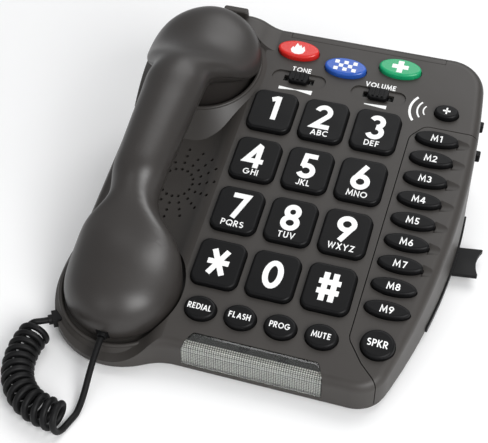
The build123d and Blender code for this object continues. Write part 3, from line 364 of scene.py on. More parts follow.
def spline_points(points: list[Vector], steps: int = 24) -> list[Vector]:
    """Points along a smooth NURBS line with the given control points.

    Args:
        points: Control points in metres.
        steps: Divisions of each span.

    Returns:
        Points in order along the line.
    """
    curve = bpy.data.curves.new("route", "CURVE")
    curve.dimensions = "3D"
    curve.resolution_u = steps
    spline = curve.splines.new("NURBS")
    spline.points.add(len(points) - 1)
    for point, place in zip(spline.points, points):
        point.co = (*place, 1.0)
    spline.order_u = ROUTE_ORDER
    spline.use_endpoint_u = True
    source = bpy.data.objects.new("route", curve)
    bpy.context.scene.collection.objects.link(source)
    return [vertex.co.copy() for vertex in baked_mesh(source).vertices]


def tube_mesh(path: list[Vector], radius: float, sides: int = 14) -> bpy.types.Mesh:
    """Closed round tube along a path, with a frame that never twists.

    Args:
        path: Points along the centre line, in metres.
        radius: Tube radius in metres.
        sides: Points round the tube.

    Returns:
        The tube as a smooth mesh.
    """
    shape = bmesh.new()
    rings = []
    turns = [2 * math.pi * k / sides for k in range(sides)]
    side = (path[1] - path[0]).orthogonal()
    for index, centre in enumerate(path):
        ahead = path[min(index + 1, len(path) - 1)] - path[max(index - 1, 0)]
        ahead.normalize()
        side = (side - ahead * side.dot(ahead)).normalized()
        other = ahead.cross(side)
        spots = [centre + (side * math.cos(a) + other * math.sin(a)) * radius for a in turns]
        rings.append([shape.verts.new(spot) for spot in spots])
    bridge(shape, rings, closed=False)
    bmesh.ops.recalc_face_normals(shape, faces=shape.faces)
    for face in shape.faces:
        face.smooth = len(face.verts) == 4
    return mesh_of("tube", shape)


@dataclass
class CurlyCord:
    """Handset cord: a coil lying on the table, and the straight tail up to the handset."""

    palette: Palette
    wire_mm: float = 3.2
    coil_radius_mm: float = 6.4
    axis_height_mm: float = 8.2
    turns: float = 14.25
    loosening: float = 0.1
    points_per_turn: int = 30
    lead_skip: int = 5
    lead_run_mm: float = 5.0
    lead_rise_mm: float = 1.0
    lead_turn_mm: float = 5.0
    tail_run_mm: float = 3.2
    tail_turn_mm: float = 12.2
    plug_exit: Place = (-97.55, -88.29, 9.4)
    lead_end: Place = (-100.23, -90.03, 9.4)
    coil_route: tuple[Spot, ...] = (
        (-100.4, -95.0),
        (-102.0, -104.2),
        (-101.0, -115.2),
        (-97.0, -126.0),
        (-89.4, -134.6),
        (-79.0, -139.6),
        (-66.5, -141.0),
    )
    tail_climb: Place = (-65.5, -106.5, 12.84)
    tail_end: Place = (-65.5, -95.93, 15.87)

    def helix(self) -> list[Vector]:
        """Wire centre line round the coil's route.

        Returns:
            Points in metres, from the base end on.
        """
        route = spline_points([Vector((x, y, 0.0)) * MM for x, y in self.coil_route])
        reach = [0.0]
        for a, b in zip(route, route[1:]):
            reach.append(reach[-1] + (b - a).length)
        count = int(self.turns * self.points_per_turn)
        wire = []
        span = 0
        for step in range(count + 1):
            share = step / count
            target = share * reach[-1]
            while span < len(route) - 2 and reach[span + 1] < target:
                span += 1
            heading = (route[span + 1] - route[span]).normalized()
            centre = route[span] + heading * (target - reach[span])
            before = (route[span] - route[max(span - 1, 0)]).normalized() if span else heading
            mix = (target - reach[span]) / max(reach[span + 1] - reach[span], 1e-9)
            heading = before.lerp(heading, 0.5 + mix / 2).normalized()
            eased = (share - self.loosening * share**3 / 3) / (1 - self.loosening / 3)
            turn = math.pi / 2 + 2 * math.pi * self.turns * eased
            right = heading.cross(Vector((0, 0, 1)))
            lift = (self.axis_height_mm + self.coil_radius_mm * math.cos(turn)) * MM
            swing = self.coil_radius_mm * math.sin(turn) * MM
            wire.append(centre + Vector((0, 0, lift)) + right * swing)
        return wire

    def build(self) -> None:
        """Make the coil and the tail, and hide the CAD cord parts that they replace."""
        wire = self.helix()[self.lead_skip :]
        radius = self.wire_mm / 2 * MM
        start = wire[0]
        into = (wire[1] - wire[0]).normalized()
        away = (Vector(self.lead_end) - Vector(self.plug_exit)).normalized()
        rise = Vector((0, 0, self.lead_rise_mm))
        lead = spline_points(
            [
                Vector(self.plug_exit) * MM,
                Vector(self.lead_end) * MM,
                (Vector(self.lead_end) + away * self.lead_run_mm + rise) * MM,
                start - into * self.lead_turn_mm * MM,
                start,
            ]
        )
        coil_path = lead[:-1] + wire
        coil = new_piece("curly_cord", tube_mesh(coil_path, radius), self.palette.cord)
        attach(coil, "base")
        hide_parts("handset_cord_coil")
        out = wire[-1] - wire[-2]
        out = Vector((out.x, out.y, 0.0)).normalized()
        tail_path = spline_points(
            [
                wire[-1],
                wire[-1] + out * self.tail_run_mm * MM,
                wire[-1] + out * self.tail_turn_mm * MM,
                Vector(self.tail_climb) * MM,
                Vector(self.tail_end) * MM,
            ]
        )
        tail = new_piece("cord_tail", tube_mesh(tail_path, radius), self.palette.cord)
        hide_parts("handset_cord_tail")
        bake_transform(tail)


# Lettering: strokes on a cap height of 1, with their width and the gap between letters
STROKE = 0.185
GLYPH_GAP = 0.13


def bow(x: float, y: float, across: float, up: float, start: float, end: float) -> list[Vector]:
    """Points along an elliptic bow of a glyph, one cap height tall.

    Args:
        x: Centre across.
        y: Centre up.
        across: Half width.
        up: Half height.
        start: First angle in degrees.
        end: Last angle in degrees.

    Returns:
        Points in order.
    """
    sweep = (end - start) / BOW_STEPS
    angles = [math.radians(start + sweep * k) for k in range(BOW_STEPS + 1)]
    return [Vector((x + across * math.cos(a), y + up * math.sin(a))) for a in angles]


def line(*spots: Spot) -> Stroke:
    """Open straight-sided stroke through the given spots."""
    return [Vector(spot) for spot in spots], False


def ring(x: float, y: float, across: float, up: float) -> Stroke:
    """Closed elliptic stroke."""
    return bow(x, y, across, up, 0, 360)[:-1], True


def bowed(*parts: list[Vector] | Spot) -> Stroke:
    """Open stroke through bows and single spots.

    Args:
        parts: Lists of points, or spots, in order.

    Returns:
        The stroke.
    """
    points = []
    for part in parts:
        points += part if isinstance(part, list) else [Vector(part)]
    return points, False


STEM = line((0.1, 0.0), (0.1, 1.0))
LOOP = bowed((0.1, 0.9), bow(0.32, 0.68, 0.2, 0.22, 90, -90), (0.1, 0.46))
ROUND = ring(0.48, 0.5, 0.39, 0.4)
SIX = [ring(0.33, 0.31, 0.235, 0.2175), line((0.13, 0.39), (0.24, 0.6), (0.445, 0.955))]
GLYPHS = {
    "0": [ring(0.33, 0.5, 0.235, 0.4075)],
    "1": [line((0.3, 0.0), (0.3, 1.0)), line((0.07, 0.83), (0.3, 0.93))],
    "2": [bowed(bow(0.32, 0.69, 0.225, 0.2175, 168, -38), (0.1, 0.0925), (0.64, 0.0925))],
    "3": [
        bowed(bow(0.29, 0.715, 0.2, 0.1925, 155, -88)),
        bowed(bow(0.29, 0.3, 0.225, 0.2075, 90, -160)),
    ],
    "4": [line((0.49, 0.0), (0.49, 0.9)), line((0.49, 0.96), (0.09, 0.28), (0.7, 0.28))],
    "5": [
        line((0.58, 0.9075), (0.2, 0.9075), (0.16, 0.46)),
        bowed(bow(0.3, 0.31, 0.23, 0.2175, -155, 138)),
    ],
    "6": SIX,
    "7": [line((0.04, 0.9075), (0.54, 0.9075), (0.215, 0.04))],
    "8": [ring(0.33, 0.715, 0.19, 0.1925), ring(0.33, 0.3, 0.23, 0.2075)],
    "9": [([Vector((0.66 - p.x, 1 - p.y)) for p in points], closed) for points, closed in SIX],
    "#": [
        line((0.22, 0.0), (0.22, 1.0)),
        line((0.52, 0.0), (0.52, 1.0)),
        line((0.02, 0.33), (0.72, 0.33)),
        line((0.02, 0.67), (0.72, 0.67)),
    ],
    "*": [
        line((0.12, 0.06), (0.58, 0.94)),
        line((0.58, 0.06), (0.12, 0.94)),
        line((0.0, 0.5), (0.7, 0.5)),
    ],
    "A": [
        line((0.07, 0.0), (0.4, 0.94)),
        line((0.73, 0.0), (0.4, 0.94)),
        line((0.2, 0.3), (0.6, 0.3)),
    ],
    "B": [
        STEM,
        bowed((0.1, 0.9), bow(0.31, 0.72, 0.19, 0.18, 90, -90), (0.1, 0.54)),
        bowed((0.1, 0.52), bow(0.33, 0.31, 0.22, 0.21, 90, -90), (0.1, 0.1)),
    ],
    "C": [bowed(bow(0.48, 0.5, 0.39, 0.4, 50, 310))],
    "D": [([Vector((0.1, 0.1)), Vector((0.1, 0.9))] + bow(0.3, 0.5, 0.38, 0.4, 90, -90), True)],
    "E": [
        STEM,
        line((0.1, 0.9), (0.52, 0.9)),
        line((0.1, 0.5), (0.48, 0.5)),
        line((0.1, 0.1), (0.52, 0.1)),
    ],
    "F": [STEM, line((0.1, 0.9), (0.52, 0.9)), line((0.1, 0.5), (0.48, 0.5))],
    "G": [bowed(bow(0.48, 0.5, 0.39, 0.4, 50, 358)), line((0.5, 0.48), (0.96, 0.48))],
    "H": [STEM, line((0.62, 0.0), (0.62, 1.0)), line((0.1, 0.52), (0.62, 0.52))],
    "I": [STEM],
    "J": [bowed(bow(0.22, 0.3, 0.18, 0.2, -165, 0), (0.4, 1.0))],
    "K": [STEM, line((0.14, 0.42), (0.58, 1.0)), line((0.24, 0.54), (0.62, 0.0))],
    "L": [line((0.1, 1.0), (0.1, 0.1), (0.5, 0.1))],
    "M": [line((0.1, 0.0), (0.2, 0.94), (0.5, 0.22), (0.8, 0.94), (0.9, 0.0))],
    "N": [line((0.1, 0.0), (0.1, 0.92), (0.64, 0.08), (0.64, 1.0))],
    "O": [ROUND],
    "P": [STEM, LOOP],
    "Q": [ROUND, line((0.52, 0.3), (0.86, 0.0))],
    "R": [STEM, LOOP, line((0.28, 0.44), (0.6, 0.0))],
    "S": [bowed(bow(0.3, 0.72, 0.2, 0.185, 35, 265), bow(0.3, 0.3, 0.22, 0.205, 85, -145))],
    "T": [line((0.02, 0.9), (0.6, 0.9)), line((0.31, 0.0), (0.31, 0.9))],
    "U": [bowed((0.1, 1.0), bow(0.34, 0.34, 0.24, 0.24, 180, 360), (0.58, 1.0))],
    "V": [line((0.06, 1.0), (0.37, 0.1), (0.68, 1.0))],
    "W": [line((0.06, 1.0), (0.29, 0.1), (0.52, 0.9), (0.75, 0.1), (0.98, 1.0))],
    "X": [line((0.06, 0.0), (0.62, 1.0)), line((0.06, 1.0), (0.62, 0.0))],
    "Y": [
        line((0.05, 1.0), (0.35, 0.46)),
        line((0.65, 1.0), (0.35, 0.46)),
        line((0.35, 0.5), (0.35, 0.0)),
    ],
    "Z": [line((0.06, 0.9), (0.56, 0.9), (0.1, 0.1), (0.6, 0.1))],
}


@dataclass
class Print:
    """White print on the sloping face: lines of text and cut-out shapes, all one mesh."""

    palette: Palette
    name: str
    body: str
    height_mm: float
    thickness_mm: float = 0.08
    sink_mm: float = 0.02
    layer_mm: float = 0.012
    shape: bmesh.types.BMesh = field(default_factory=bmesh.new)

    def text(
        self, words: str, cap: float, place: Spot, width: float = 1.0, weight: float = STROKE
    ) -> None:
        """Add a line of bold geometric lettering centred on a point of the face.

        Args:
            words: Text of the line.
            cap: Height of its capitals in mm.
            place: Middle of the line, across and up the face in mm.
            width: Stretch across.
            weight: Stroke width as a share of the cap height.
        """
        x, u = place
        pen = 0.0
        laid = []
        for glyph in words:
            strokes = GLYPHS[glyph]
            span = [p.x for points, _ in strokes for p in points]
            laid.append((strokes, pen - min(span)))
            pen += max(span) - min(span) + weight + GLYPH_GAP
        middle = Vector(((pen - weight - GLYPH_GAP) / 2, 0.5))
        for strokes, shift in laid:
            for order, (points, closed) in enumerate(strokes):
                spots = [p + Vector((shift, 0.0)) - middle for p in points]
                spots = [Vector((x + p.x * cap * width, u + p.y * cap)) for p in spots]
                self.ribbon(spots, weight * cap, closed, order * self.layer_mm)

    def outline(self, points: list[Spot], place: Spot = (0.0, 0.0)) -> None:
        """Add a closed flat shape.

        Args:
            points: Corners in mm, in order.
            place: Point of the face that they are measured from.
        """
        low = self.height_mm - self.sink_mm
        levels = (low, low + self.thickness_mm)
        spots = [(place[0] + x, place[1] + u) for x, u in points]
        bridge(self.shape, [[self.shape.verts.new((*p, z)) for p in spots] for z in levels], False)

    def bar(self, place: Spot, length: float, width: float) -> None:
        """Add a bar that lies square on the face.

        Args:
            place: Its centre in mm.
            length: Length across in mm.
            width: Width up in mm.
        """
        ends = [(-1, -1), (1, -1), (1, 1), (-1, 1)]
        self.outline([(a * length / 2, b * width / 2) for a, b in ends], place)

    def ribbon(self, points: list[Vector], width: float, closed: bool, lift: float = 0.0) -> None:
        """Add a stroke of even width.

        Args:
            points: Centre line on the face in mm.
            width: Stroke width in mm.
            closed: Whether the stroke is a ring.
            lift: Extra height in mm, so that crossing strokes never share a plane.
        """
        low = self.height_mm - self.sink_mm + lift
        count = len(points)
        rings = []
        for k, point in enumerate(points):
            before = points[(k - 1) % count] if closed or k else point * 2 - points[1]
            after = points[(k + 1) % count] if closed or k < count - 1 else point * 2 - points[k - 1]
            first = (point - before).normalized()
            second = (after - point).normalized()
            across = Vector((-first.y - second.y, first.x + second.x)).normalized()
            reach = across * (width / 2 / max(across.dot(Vector((-first.y, first.x))), 0.4))
            sides = (point + reach, point - reach)
            rings.append([self.shape.verts.new((*p, low)) for p in sides])
            high = low + self.thickness_mm
            rings[-1] += [self.shape.verts.new((*p, high)) for p in reversed(sides)]
        bridge(self.shape, rings, closed)

    def arc(self, place: Spot, radius: float, width: float, span: Spot) -> None:
        """Add an arc band.

        Args:
            place: Its centre in mm.
            radius: Middle radius in mm.
            width: Band width in mm.
            span: First and last angle in degrees.
        """
        sweep = (span[1] - span[0]) / ARC_STEPS
        angles = [math.radians(span[0] + sweep * k) for k in range(ARC_STEPS + 1)]
        ways = [(math.cos(a), math.sin(a)) for a in angles]
        outer = [((radius + width / 2) * c, (radius + width / 2) * s) for c, s in ways]
        inner = [((radius - width / 2) * c, (radius - width / 2) * s) for c, s in reversed(ways)]
        self.outline(outer + inner, place)

    def done(self) -> bpy.types.Object:
        """Link the print on its body.

        Returns:
            The print as one piece.
        """
        bmesh.ops.recalc_face_normals(self.shape, faces=self.shape.faces)
        mesh = mesh_of(self.name, self.shape)
        mesh.transform(FACE @ Matrix.Scale(MM, 4))
        piece = new_piece(self.name, mesh, self.palette.ink)
        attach(piece, self.body)
        return piece


@dataclass
class Keypad:
    """Print on the keys of the sloping face, and on the face beside them."""

    palette: Palette
    key_top_mm: float = 3.2
    digit_columns: int = 3
    digit_rows: int = 4
    pitch_mm: Spot = (28.0, 31.8)
    digit_cap_mm: float = 15.3
    lone_cap_mm: float = 15.6
    digit_lift_mm: float = 1.5
    letters: tuple[str, ...] = ("", "ABC", "DEF", "GHI", "JKL", "MNO", "PQRS", "TUV", "WXYZ")
    letter_cap_mm: float = 3.6
    letter_width: float = 1.05
    letter_drop_mm: float = 8.7
    fine_weight: float = 0.155
    memory_keys: int = 9
    memory_cap_mm: float = 3.9
    memory_first: Spot = (59.8, 50.2)
    memory_step: Spot = (-0.28, -12.745)
    memory_drop_mm: float = 0.6
    function_words: tuple[tuple[str, str], ...] = (
        ("redial_key", "REDIAL"),
        ("flash_key", "FLASH"),
        ("program_key", "PROG"),
        ("mute_key", "MUTE"),
    )
    function_cap_mm: float = 3.2
    function_width: float = 0.9
    function_first: Spot = (-29.3, -73.15)
    function_pitch_mm: float = 20.1
    speaker_cap_mm: float = 3.8
    speaker_width: float = 0.92
    speaker_place: Spot = (57.5, -70.6)
    boost_place: Spot = (61.2, 68.0)
    plus_mm: Spot = (4.0, 0.9)
    flame_place: Spot = (-25.4, 91.1)
    flame_stretch: Spot = (1.15, 1.05)
    flame: tuple[Spot, ...] = (
        (-3.6, -1.2),
        (-2.9, 0.9),
        (-2.2, 0.1),
        (-1.3, 3.4),
        (0.2, 1.6),
        (0.7, 2.6),
        (1.5, 0.6),
        (2.4, 1.9),
        (3.4, -0.9),
        (2.6, -2.8),
        (0.9, -3.7),
        (-1.2, -3.7),
        (-2.9, -2.8),
    )
    checker_place: Spot = (2.5, 85.1)
    checker_columns: int = 5
    checker_rows: int = 3
    check_pitch_mm: Spot = (2.5, 2.3)
    check_mm: Spot = (2.35, 2.15)
    cross_place: Spot = (31.3, 91.1)
    half_cross: tuple[Spot, ...] = (
        (1.5, 1.3),
        (4.4, 1.3),
        (4.4, -1.3),
        (1.5, -1.3),
        (1.5, -3.9),
        (-1.5, -3.9),
    )
    panel_cap_mm: float = 3.2
    panel_words: tuple[tuple[str, Spot], ...] = (("TONE", (-20.5, 79.4)), ("VOLUME", (23.7, 78.4)))
    tone_wedges: tuple[Spot, ...] = (
        (-29.7, 64.4),
        (-20.5, 65.4),
        (-11.3, 64.0),
        (-11.3, 66.8),
        (-20.5, 65.8),
        (-29.7, 66.4),
    )
    volume_wedge: tuple[Spot, ...] = ((17.6, 64.9), (29.6, 64.0), (29.6, 66.2), (17.6, 65.4))
    sound_place: Spot = (53.2, 68.0)
    sound_arcs: tuple[Spot, ...] = ((4.2, 0.7), (7.4, 0.9), (11.4, 1.3))
    sound_span: Spot = (138, 222)

    def on_key(self, key: str) -> Print:
        """Empty print on a key's top."""
        return Print(self.palette, f"print_{key}", key, self.key_top_mm)

    def digits(self) -> None:
        """Print the twelve number keys."""
        signs = {"star": "*", "0": "0", "hash": "#"}
        for index, name in enumerate([str(n) for n in range(1, 10)] + list(signs)):
            row, column = divmod(index, self.digit_columns)
            x = (column - (self.digit_columns - 1) / 2) * self.pitch_mm[0]
            u = ((self.digit_rows - 1) / 2 - row) * self.pitch_mm[1]
            top = self.on_key(f"key_{name}")
            if name in signs:
                top.text(signs[name], self.lone_cap_mm, (x, u))
            else:
                top.text(name, self.digit_cap_mm, (x, u + self.digit_lift_mm))
                low = (x, u - self.letter_drop_mm)
                letters = self.letters[index]
                top.text(letters, self.letter_cap_mm, low, self.letter_width, self.fine_weight)
            top.done()

    def memory(self) -> None:
        """Print the memory keys."""
        for index in range(self.memory_keys):
            x = self.memory_first[0] + self.memory_step[0] * index
            u = self.memory_first[1] + self.memory_step[1] * index - self.memory_drop_mm
            top = self.on_key(f"memory_key_{index + 1}")
            top.text(f"M{index + 1}", self.memory_cap_mm, (x, u), weight=self.fine_weight)
            top.done()

    def functions(self) -> None:
        """Print the front row, the speaker key and the boost key."""
        x, u = self.function_first
        for index, (key, word) in enumerate(self.function_words):
            top = self.on_key(key)
            place = (x + self.function_pitch_mm * index, u)
            top.text(word, self.function_cap_mm, place, self.function_width, self.fine_weight)
            top.done()
        top = self.on_key("speaker_key")
        top.text("SPKR", self.speaker_cap_mm, self.speaker_place, self.speaker_width, self.fine_weight)
        top.done()
        top = self.on_key("boost_key")
        top.bar(self.boost_place, *self.plus_mm)
        top.bar(self.boost_place, *reversed(self.plus_mm))
        top.done()

    def pictograms(self) -> None:
        """Print the three help keys: a flame, a checker and a cross."""
        top = self.on_key("emergency_key_fire")
        wide, tall = self.flame_stretch
        top.outline([(x * wide, u * tall) for x, u in self.flame], self.flame_place)
        top.done()
        top = self.on_key("emergency_key_police")
        for column in range(self.checker_columns):
            for row in range(self.checker_rows):
                if (column + row) % 2 == 0:
                    x = (column - (self.checker_columns - 1) / 2) * self.check_pitch_mm[0]
                    u = (row - (self.checker_rows - 1) / 2) * self.check_pitch_mm[1]
                    place = (self.checker_place[0] + x, self.checker_place[1] + u)
                    top.bar(place, *self.check_mm)
        top.done()
        top = self.on_key("emergency_key_medical")
        other_half = [(-x, -u) for x, u in self.half_cross]
        top.outline(list(self.half_cross) + other_half, self.cross_place)
        top.done()

    def panel(self) -> None:
        """Print the words and wedges beside the sliders and the sound arcs by the boost key."""
        sheet = Print(self.palette, "print_panel", "base", 0.0)
        for word, place in self.panel_words:
            sheet.text(word, self.panel_cap_mm, place)
        sheet.outline(list(self.tone_wedges))
        sheet.outline(list(self.volume_wedge))
        for radius, width in self.sound_arcs:
            sheet.arc(self.sound_place, radius, width, self.sound_span)
        sheet.done()

    def build(self) -> None:
        """Print every key and the panel."""
        self.digits()
        self.memory()
        self.functions()
        self.pictograms()
        self.panel()


@dataclass
class SeamWeb:
    """Thin web inside the joint of the handset's shells, which closes the view through it."""

    palette: Palette
    handset_x: float = -72.0
    mouth_u: float = -67.0
    ear_u: float = 70.0
    mouth_parting: float = -4.0
    grip_parting: float = 35.0
    ear_parting: float = 6.5
    mouth_ramp: float = 54.0
    ear_ramp: float = 49.0
    ramp_lead: float = 0.11
    grip_half_mouth: float = 11.5
    grip_half_ear: float = 17.0
    inset_mm: float = 1.1
    thickness_mm: float = 0.9
    clear_of_cups_mm: float = 26.0
    stations: int = 40

    def ramp(self, value: float) -> float:
        """Even rise from 0 to 1, as the shells' joint climbs from a cup to the grip."""
        t = min(max(value, 0.0), 1.0)
        return t**3 * (10 - 15 * t + 6 * t * t)

    def parting(self, u: float) -> float:
        """Height of the joint over the face.

        Args:
            u: Place up the slope in mm.

        Returns:
            Height in mm.
        """
        leave_mouth = self.ramp((u - self.mouth_u) / self.mouth_ramp + self.ramp_lead)
        reach_ear = self.ramp((u - self.ear_u) / self.ear_ramp + 1 - self.ramp_lead)
        mouth_share = (self.mouth_parting - self.grip_parting) * (1 - leave_mouth)
        return self.grip_parting + mouth_share + (self.ear_parting - self.grip_parting) * reach_ear

    def build(self) -> None:
        """Loft the web along the grip and let it ride the handset."""
        shape = bmesh.new()
        first = self.mouth_u + self.clear_of_cups_mm
        last = self.ear_u - self.clear_of_cups_mm
        rings = []
        for step in range(self.stations + 1):
            u = first + (last - first) * step / self.stations
            share = (u - self.mouth_u) / (self.ear_u - self.mouth_u)
            grip_half = self.grip_half_mouth + (self.grip_half_ear - self.grip_half_mouth) * share
            half = grip_half - self.inset_mm
            low = self.parting(u) - self.thickness_mm / 2
            high = low + self.thickness_mm
            corners = [(-half, low), (half, low), (half, high), (-half, high)]
            rings.append([shape.verts.new((self.handset_x + x, u, v)) for x, v in corners])
        bridge(shape, rings, closed=False)
        bmesh.ops.recalc_face_normals(shape, faces=shape.faces)
        mesh = mesh_of("handset_seam_web", shape)
        mesh.transform(FACE @ Matrix.Scale(MM, 4))
        piece = new_piece("handset_seam_web", mesh, self.palette.handset)
        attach(piece, "handset")


class Stud(Enum):
    """Shape repeated over a grid."""

    DOT = "dot"
    BAR = "bar"


@dataclass
class StudGrid:
    """Geometry-nodes grid of small dots or bars."""

    stud: Stud
    columns: int
    rows: int
    width_mm: float
    depth_mm: float
    size_mm: Place

    def tree(self, finish: Finish) -> bpy.types.NodeTree:
        """Node tree that sets one stud on each point of a grid.

        Args:
            finish: Material of the studs.

        Returns:
            The tree, with named inputs.
        """
        tree = bpy.data.node_groups.new(f"stud_grid_{self.stud.value}", "GeometryNodeTree")
        sockets = tree.interface
        sockets.new_socket("Geometry", in_out="OUTPUT", socket_type="NodeSocketGeometry")
        for name in ("Columns", "Rows"):
            sockets.new_socket(name, in_out="INPUT", socket_type="NodeSocketInt")
        for name in ("Width", "Depth"):
            sockets.new_socket(name, in_out="INPUT", socket_type="NodeSocketFloat")
        sockets.new_socket("Stud Size", in_out="INPUT", socket_type="NodeSocketVector")
        given = add_node(tree, "NodeGroupInput").outputs
        grid = add_node(
            tree,
            "GeometryNodeMeshGrid",
            {
                "Size X": given["Width"],
                "Size Y": given["Depth"],
                "Vertices X": given["Columns"],
                "Vertices Y": given["Rows"],
            },
        )
        if self.stud is Stud.DOT:
            sizes = {"Segments": 14, "Rings": 8, "Radius": 0.5}
            one = add_node(tree, "GeometryNodeMeshUVSphere", sizes)
        else:
            one = add_node(tree, "GeometryNodeMeshCube", {"Size": (1.0, 1.0, 1.0)})
        spread = add_node(
            tree,
            "GeometryNodeInstanceOnPoints",
            {
                "Points": grid.outputs["Mesh"],
                "Instance": one.outputs["Mesh"],
                "Scale": given["Stud Size"],
            },
        )
        studs = spread.outputs["Instances"]
        real = add_node(tree, "GeometryNodeRealizeInstances", {"Geometry": studs})
        painted = add_node(
            tree,
            "GeometryNodeSetMaterial",
            {"Geometry": real.outputs["Geometry"], "Material": finish.material()},
        )
        add_node(tree, "NodeGroupOutput", {"Geometry": painted.outputs["Geometry"]})
        return tree

    def mesh(self, finish: Finish) -> bpy.types.Mesh:
        """Bake the grid to a plain mesh about the origin, in metres.

        Args:
            finish: Material of the studs.

        Returns:
            The baked mesh.
        """
        source = bpy.data.objects.new("stud_grid", bpy.data.meshes.new("stud_grid"))
        bpy.context.scene.collection.objects.link(source)
        modifier = source.modifiers.new("grid", "NODES")
        modifier.node_group = self.tree(finish)
        values = {
            "Columns": self.columns,
            "Rows": self.rows,
            "Width": self.width_mm * MM,
            "Depth": self.depth_mm * MM,
            "Stud Size": tuple(s * MM for s in self.size_mm),
        }
        for item in modifier.node_group.interface.items_tree:
            if item.in_out == "INPUT":
                modifier[item.identifier] = values[item.name]
        return baked_mesh(source)


@dataclass
class SliderRibs:
    """Finger ribs across the knobs of the two slide controls."""

    palette: Palette
    places: tuple[tuple[str, Spot], ...] = (
        ("tone_slider", (-20.5, 73.0)),
        ("volume_slider", (23.7, 72.0)),
    )
    knob_height_mm: float = 2.6
    rib_mm: Place = (1.1, 5.0, 1.3)
    spread_mm: float = 5.0
    count: int = 3

    def build(self) -> None:
        """Set the ribs on each knob."""
        ribs = StudGrid(Stud.BAR, self.count, 1, self.spread_mm, ONE_ROW_MM, self.rib_mm)
        for body, place in self.places:
            mesh = ribs.mesh(self.palette.key)
            mesh.transform(FACE @ Matrix.Translation(Vector((*place, self.knob_height_mm)) * MM))
            piece = new_piece(f"{body}_ribs", mesh, self.palette.key)
            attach(piece, body)


@dataclass
class NameCard:
    """Ruled paper card lying in the tray of the index drawer."""

    palette: Palette
    tray: bpy.types.Object
    recess_mm: float = 1.4
    margin_mm: float = 1.0
    paper_mm: float = 0.25
    rules: int = 9
    rule_mm: float = 0.4
    rule_margin_mm: float = 3.0
    rule_thickness_mm: float = 0.0625

    def add(self, name: str, mesh: bpy.types.Mesh, finish: Finish) -> None:
        """Link one piece that rides the drawer.

        Args:
            name: Piece name.
            mesh: Its mesh.
            finish: Its material.
        """
        piece = new_piece(name, mesh, finish)
        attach(piece, "index_drawer")

    def build(self) -> None:
        """Cut the card to the tray's floor and rule it."""
        spots = [self.tray.matrix_world @ vertex.co for vertex in self.tray.data.vertices]
        floor = max(p.z for p in spots) - self.recess_mm * MM
        spots = [p for p in spots if abs(p.z - floor) < self.paper_mm * MM / 2]
        edge = Vector((self.margin_mm, self.margin_mm)) * MM
        low = Vector((min(p.x for p in spots), min(p.y for p in spots))) + edge
        high = Vector((max(p.x for p in spots), max(p.y for p in spots))) - edge
        middle = ((low + high) / 2).to_3d()
        middle.z = floor + self.paper_mm * MM / 2
        size = (high - low).to_3d()
        size.z = self.paper_mm * MM
        shape = bmesh.new()
        bmesh.ops.create_cube(shape, size=1.0, matrix=Matrix.LocRotScale(middle, None, size))
        self.add("name_card", mesh_of("name_card", shape), self.palette.paper)
        step = size.y / MM / (self.rules + 1)
        bar = (size.x / MM - 2 * self.rule_margin_mm, self.rule_mm, self.rule_thickness_mm)
        grid = StudGrid(Stud.BAR, 1, self.rules, ONE_ROW_MM, step * (self.rules - 1), bar)
        lines = grid.mesh(self.palette.rule)
        middle.z = floor + self.paper_mm * MM
        lines.transform(Matrix.Translation(middle))
        self.add("name_card_rules", lines, self.palette.rule)


@dataclass
class WindowLamps:
    """Row of paired lamps in the dark band behind the front window."""

    palette: Palette
    pairs: int = 3
    spread_mm: float = 40.0
    pair_half_mm: float = 1.6
    lamp_mm: Place = (1.7, 1.7, 1.1)
    place: Place = (3.7, -90.0, -2.9)

    def build(self) -> None:
        """Set both lamps of each pair and let them ride the base."""
        row = StudGrid(Stud.DOT, self.pairs, 1, self.spread_mm, ONE_ROW_MM, self.lamp_mm)
        shape = bmesh.new()
        for shift in (-self.pair_half_mm, self.pair_half_mm):
            lamps = row.mesh(self.palette.lamp)
            place = Vector(self.place) + Vector((shift, 0, 0))
            lamps.transform(FACE @ Matrix.Translation(place * MM))
            shape.from_mesh(lamps)
            bpy.data.meshes.remove(lamps)
        piece = new_piece("window_lamps", mesh_of("window_lamps", shape), self.palette.lamp)
        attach(piece, "base")


@dataclass(frozen=True)
class SoftLight:
    """A soft square light: where it hangs in metres, its edge length and its power in watts."""

    name: str
    place: Place
    size: float
    power: float

    def hang(self, aim: Place) -> None:
        """Link the light, facing a point.

        Args:
            aim: The point in metres.
        """
        data = bpy.data.lights.new(self.name, "AREA")
        data.size = self.size
        data.energy = self.power
        lamp = bpy.data.objects.new(self.name, data)
        lamp.location = self.place
        ahead = Vector(aim) - Vector(self.place)
        lamp.rotation_euler = ahead.to_track_quat("-Z", "Y").to_euler()
        bpy.context.scene.collection.objects.link(lamp)


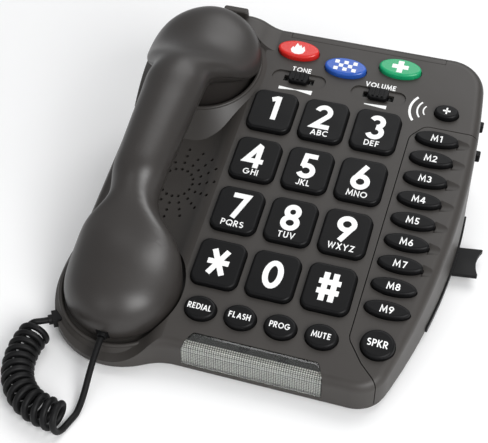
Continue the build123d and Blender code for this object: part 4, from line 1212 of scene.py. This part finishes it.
@dataclass
class Stage:
    """Floor, lights and the photograph's camera."""

    palette: Palette
    floor_half: float = 6.0
    lights: tuple[SoftLight, ...] = (
        SoftLight("key_light", (0.7, -0.75, 0.75), 0.6, 12.0),
        SoftLight("side_light", (0.2, 0.8, 1.3), 1.2, 12.0),
        SoftLight("front_light", (-0.5, -1.4, 0.9), 0.7, 2.0),
    )
    light_aim: Place = (0.0, 0.0, 0.03)
    room_tone: str = "#f4f5f7"
    room_strength: float = 0.42
    camera_mm: Place = (109.72, -422.08, 438.63)
    forward: Place = (-0.21822, 0.69133, -0.68880)
    lens_mm: float = 84.84
    sensor_mm: float = 36.0

    def floor(self) -> None:
        """Lay a wide pale floor."""
        shape = bmesh.new()
        bmesh.ops.create_grid(shape, x_segments=1, y_segments=1, size=self.floor_half)
        new_piece("floor", mesh_of("floor", shape), self.palette.floor)

    def room(self) -> None:
        """Surround the telephone with an even pale light."""
        world = bpy.data.worlds.new("studio")
        world.use_nodes = True
        back = world.node_tree.nodes["Background"]
        back.inputs["Color"].default_value = linear(self.room_tone)
        back.inputs["Strength"].default_value = self.room_strength
        bpy.context.scene.world = world
        bpy.context.scene.view_settings.view_transform = "Standard"

    def camera(self) -> None:
        """Set the camera where the photograph was taken from."""
        data = bpy.data.cameras.new("photo_camera")
        data.sensor_fit = "HORIZONTAL"
        data.sensor_width = self.sensor_mm
        data.lens = self.lens_mm
        camera = bpy.data.objects.new("photo_camera", data)
        camera.location = Vector(self.camera_mm) * MM
        camera.rotation_euler = Vector(self.forward).to_track_quat("-Z", "Y").to_euler()
        bpy.context.scene.collection.objects.link(camera)
        bpy.context.scene.camera = camera

    def build(self) -> None:
        """Set the floor, the lights, the surrounding light and the camera."""
        self.floor()
        for light in self.lights:
            light.hang(self.light_aim)
        self.room()
        self.camera()


@dataclass
class Telephone:
    """The whole telephone: finishes on the CAD nodes, and the pieces added to them."""

    nodes: dict[str, bpy.types.Object]
    palette: Palette

    def finish_for(self, node: str) -> Finish:
        """Finish of a CAD node.

        Args:
            node: Node name.

        Returns:
            Its finish.
        """
        exact = {
            "emergency_key_fire": self.palette.red,
            "emergency_key_police": self.palette.blue,
            "emergency_key_medical": self.palette.green,
            "rubber_feet": self.palette.foot,
            "housing_screws": self.palette.steel,
            "handset_screws": self.palette.steel,
            "strobe_lens": self.palette.window,
            "strobe_reflector": self.palette.reflector,
            "main_circuit_board": self.palette.board,
            "keypad_mat": self.palette.mat,
            "loudspeaker": self.palette.capsule,
            "receiver_capsule": self.palette.capsule,
            "microphone_capsule": self.palette.capsule,
            "line_socket": self.palette.socket,
            "power_socket": self.palette.socket,
            "handset_back_shell": self.palette.handset,
            "handset_front_shell": self.palette.handset,
            "hook_plunger": self.palette.key,
            "index_drawer": self.palette.key,
        }
        if node in exact:
            return exact[node]
        caps = node.startswith(("key_", "memory_key")) or node.endswith("_key")
        if caps or node.endswith(("_slider", "_switch")):
            return self.palette.key
        if "cord" in node:
            return self.palette.cord
        return self.palette.housing

    def dress(self) -> None:
        """Give every CAD node its finish."""
        for name, node in self.nodes.items():
            finish = self.finish_for(name).material()
            if not node.material_slots:
                node.data.materials.append(finish)
            for slot in node.material_slots:
                slot.material = finish

    def build(self) -> None:
        """Dress the nodes and add the cord, the web, the ribs, the card, the print and the lamps."""
        self.dress()
        CurlyCord(self.palette).build()
        SeamWeb(self.palette).build()
        SliderRibs(self.palette).build()
        NameCard(self.palette, self.nodes["index_drawer"]).build()
        Keypad(self.palette).build()
        WindowLamps(self.palette).build()


def main() -> None:
    """Load the frame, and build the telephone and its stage."""
    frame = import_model()
    palette = Palette()
    Telephone(frame["nodes"], palette).build()
    Stage(palette).build()


if __name__ == "__main__":
    logging.basicConfig(level=logging.INFO)
    main()
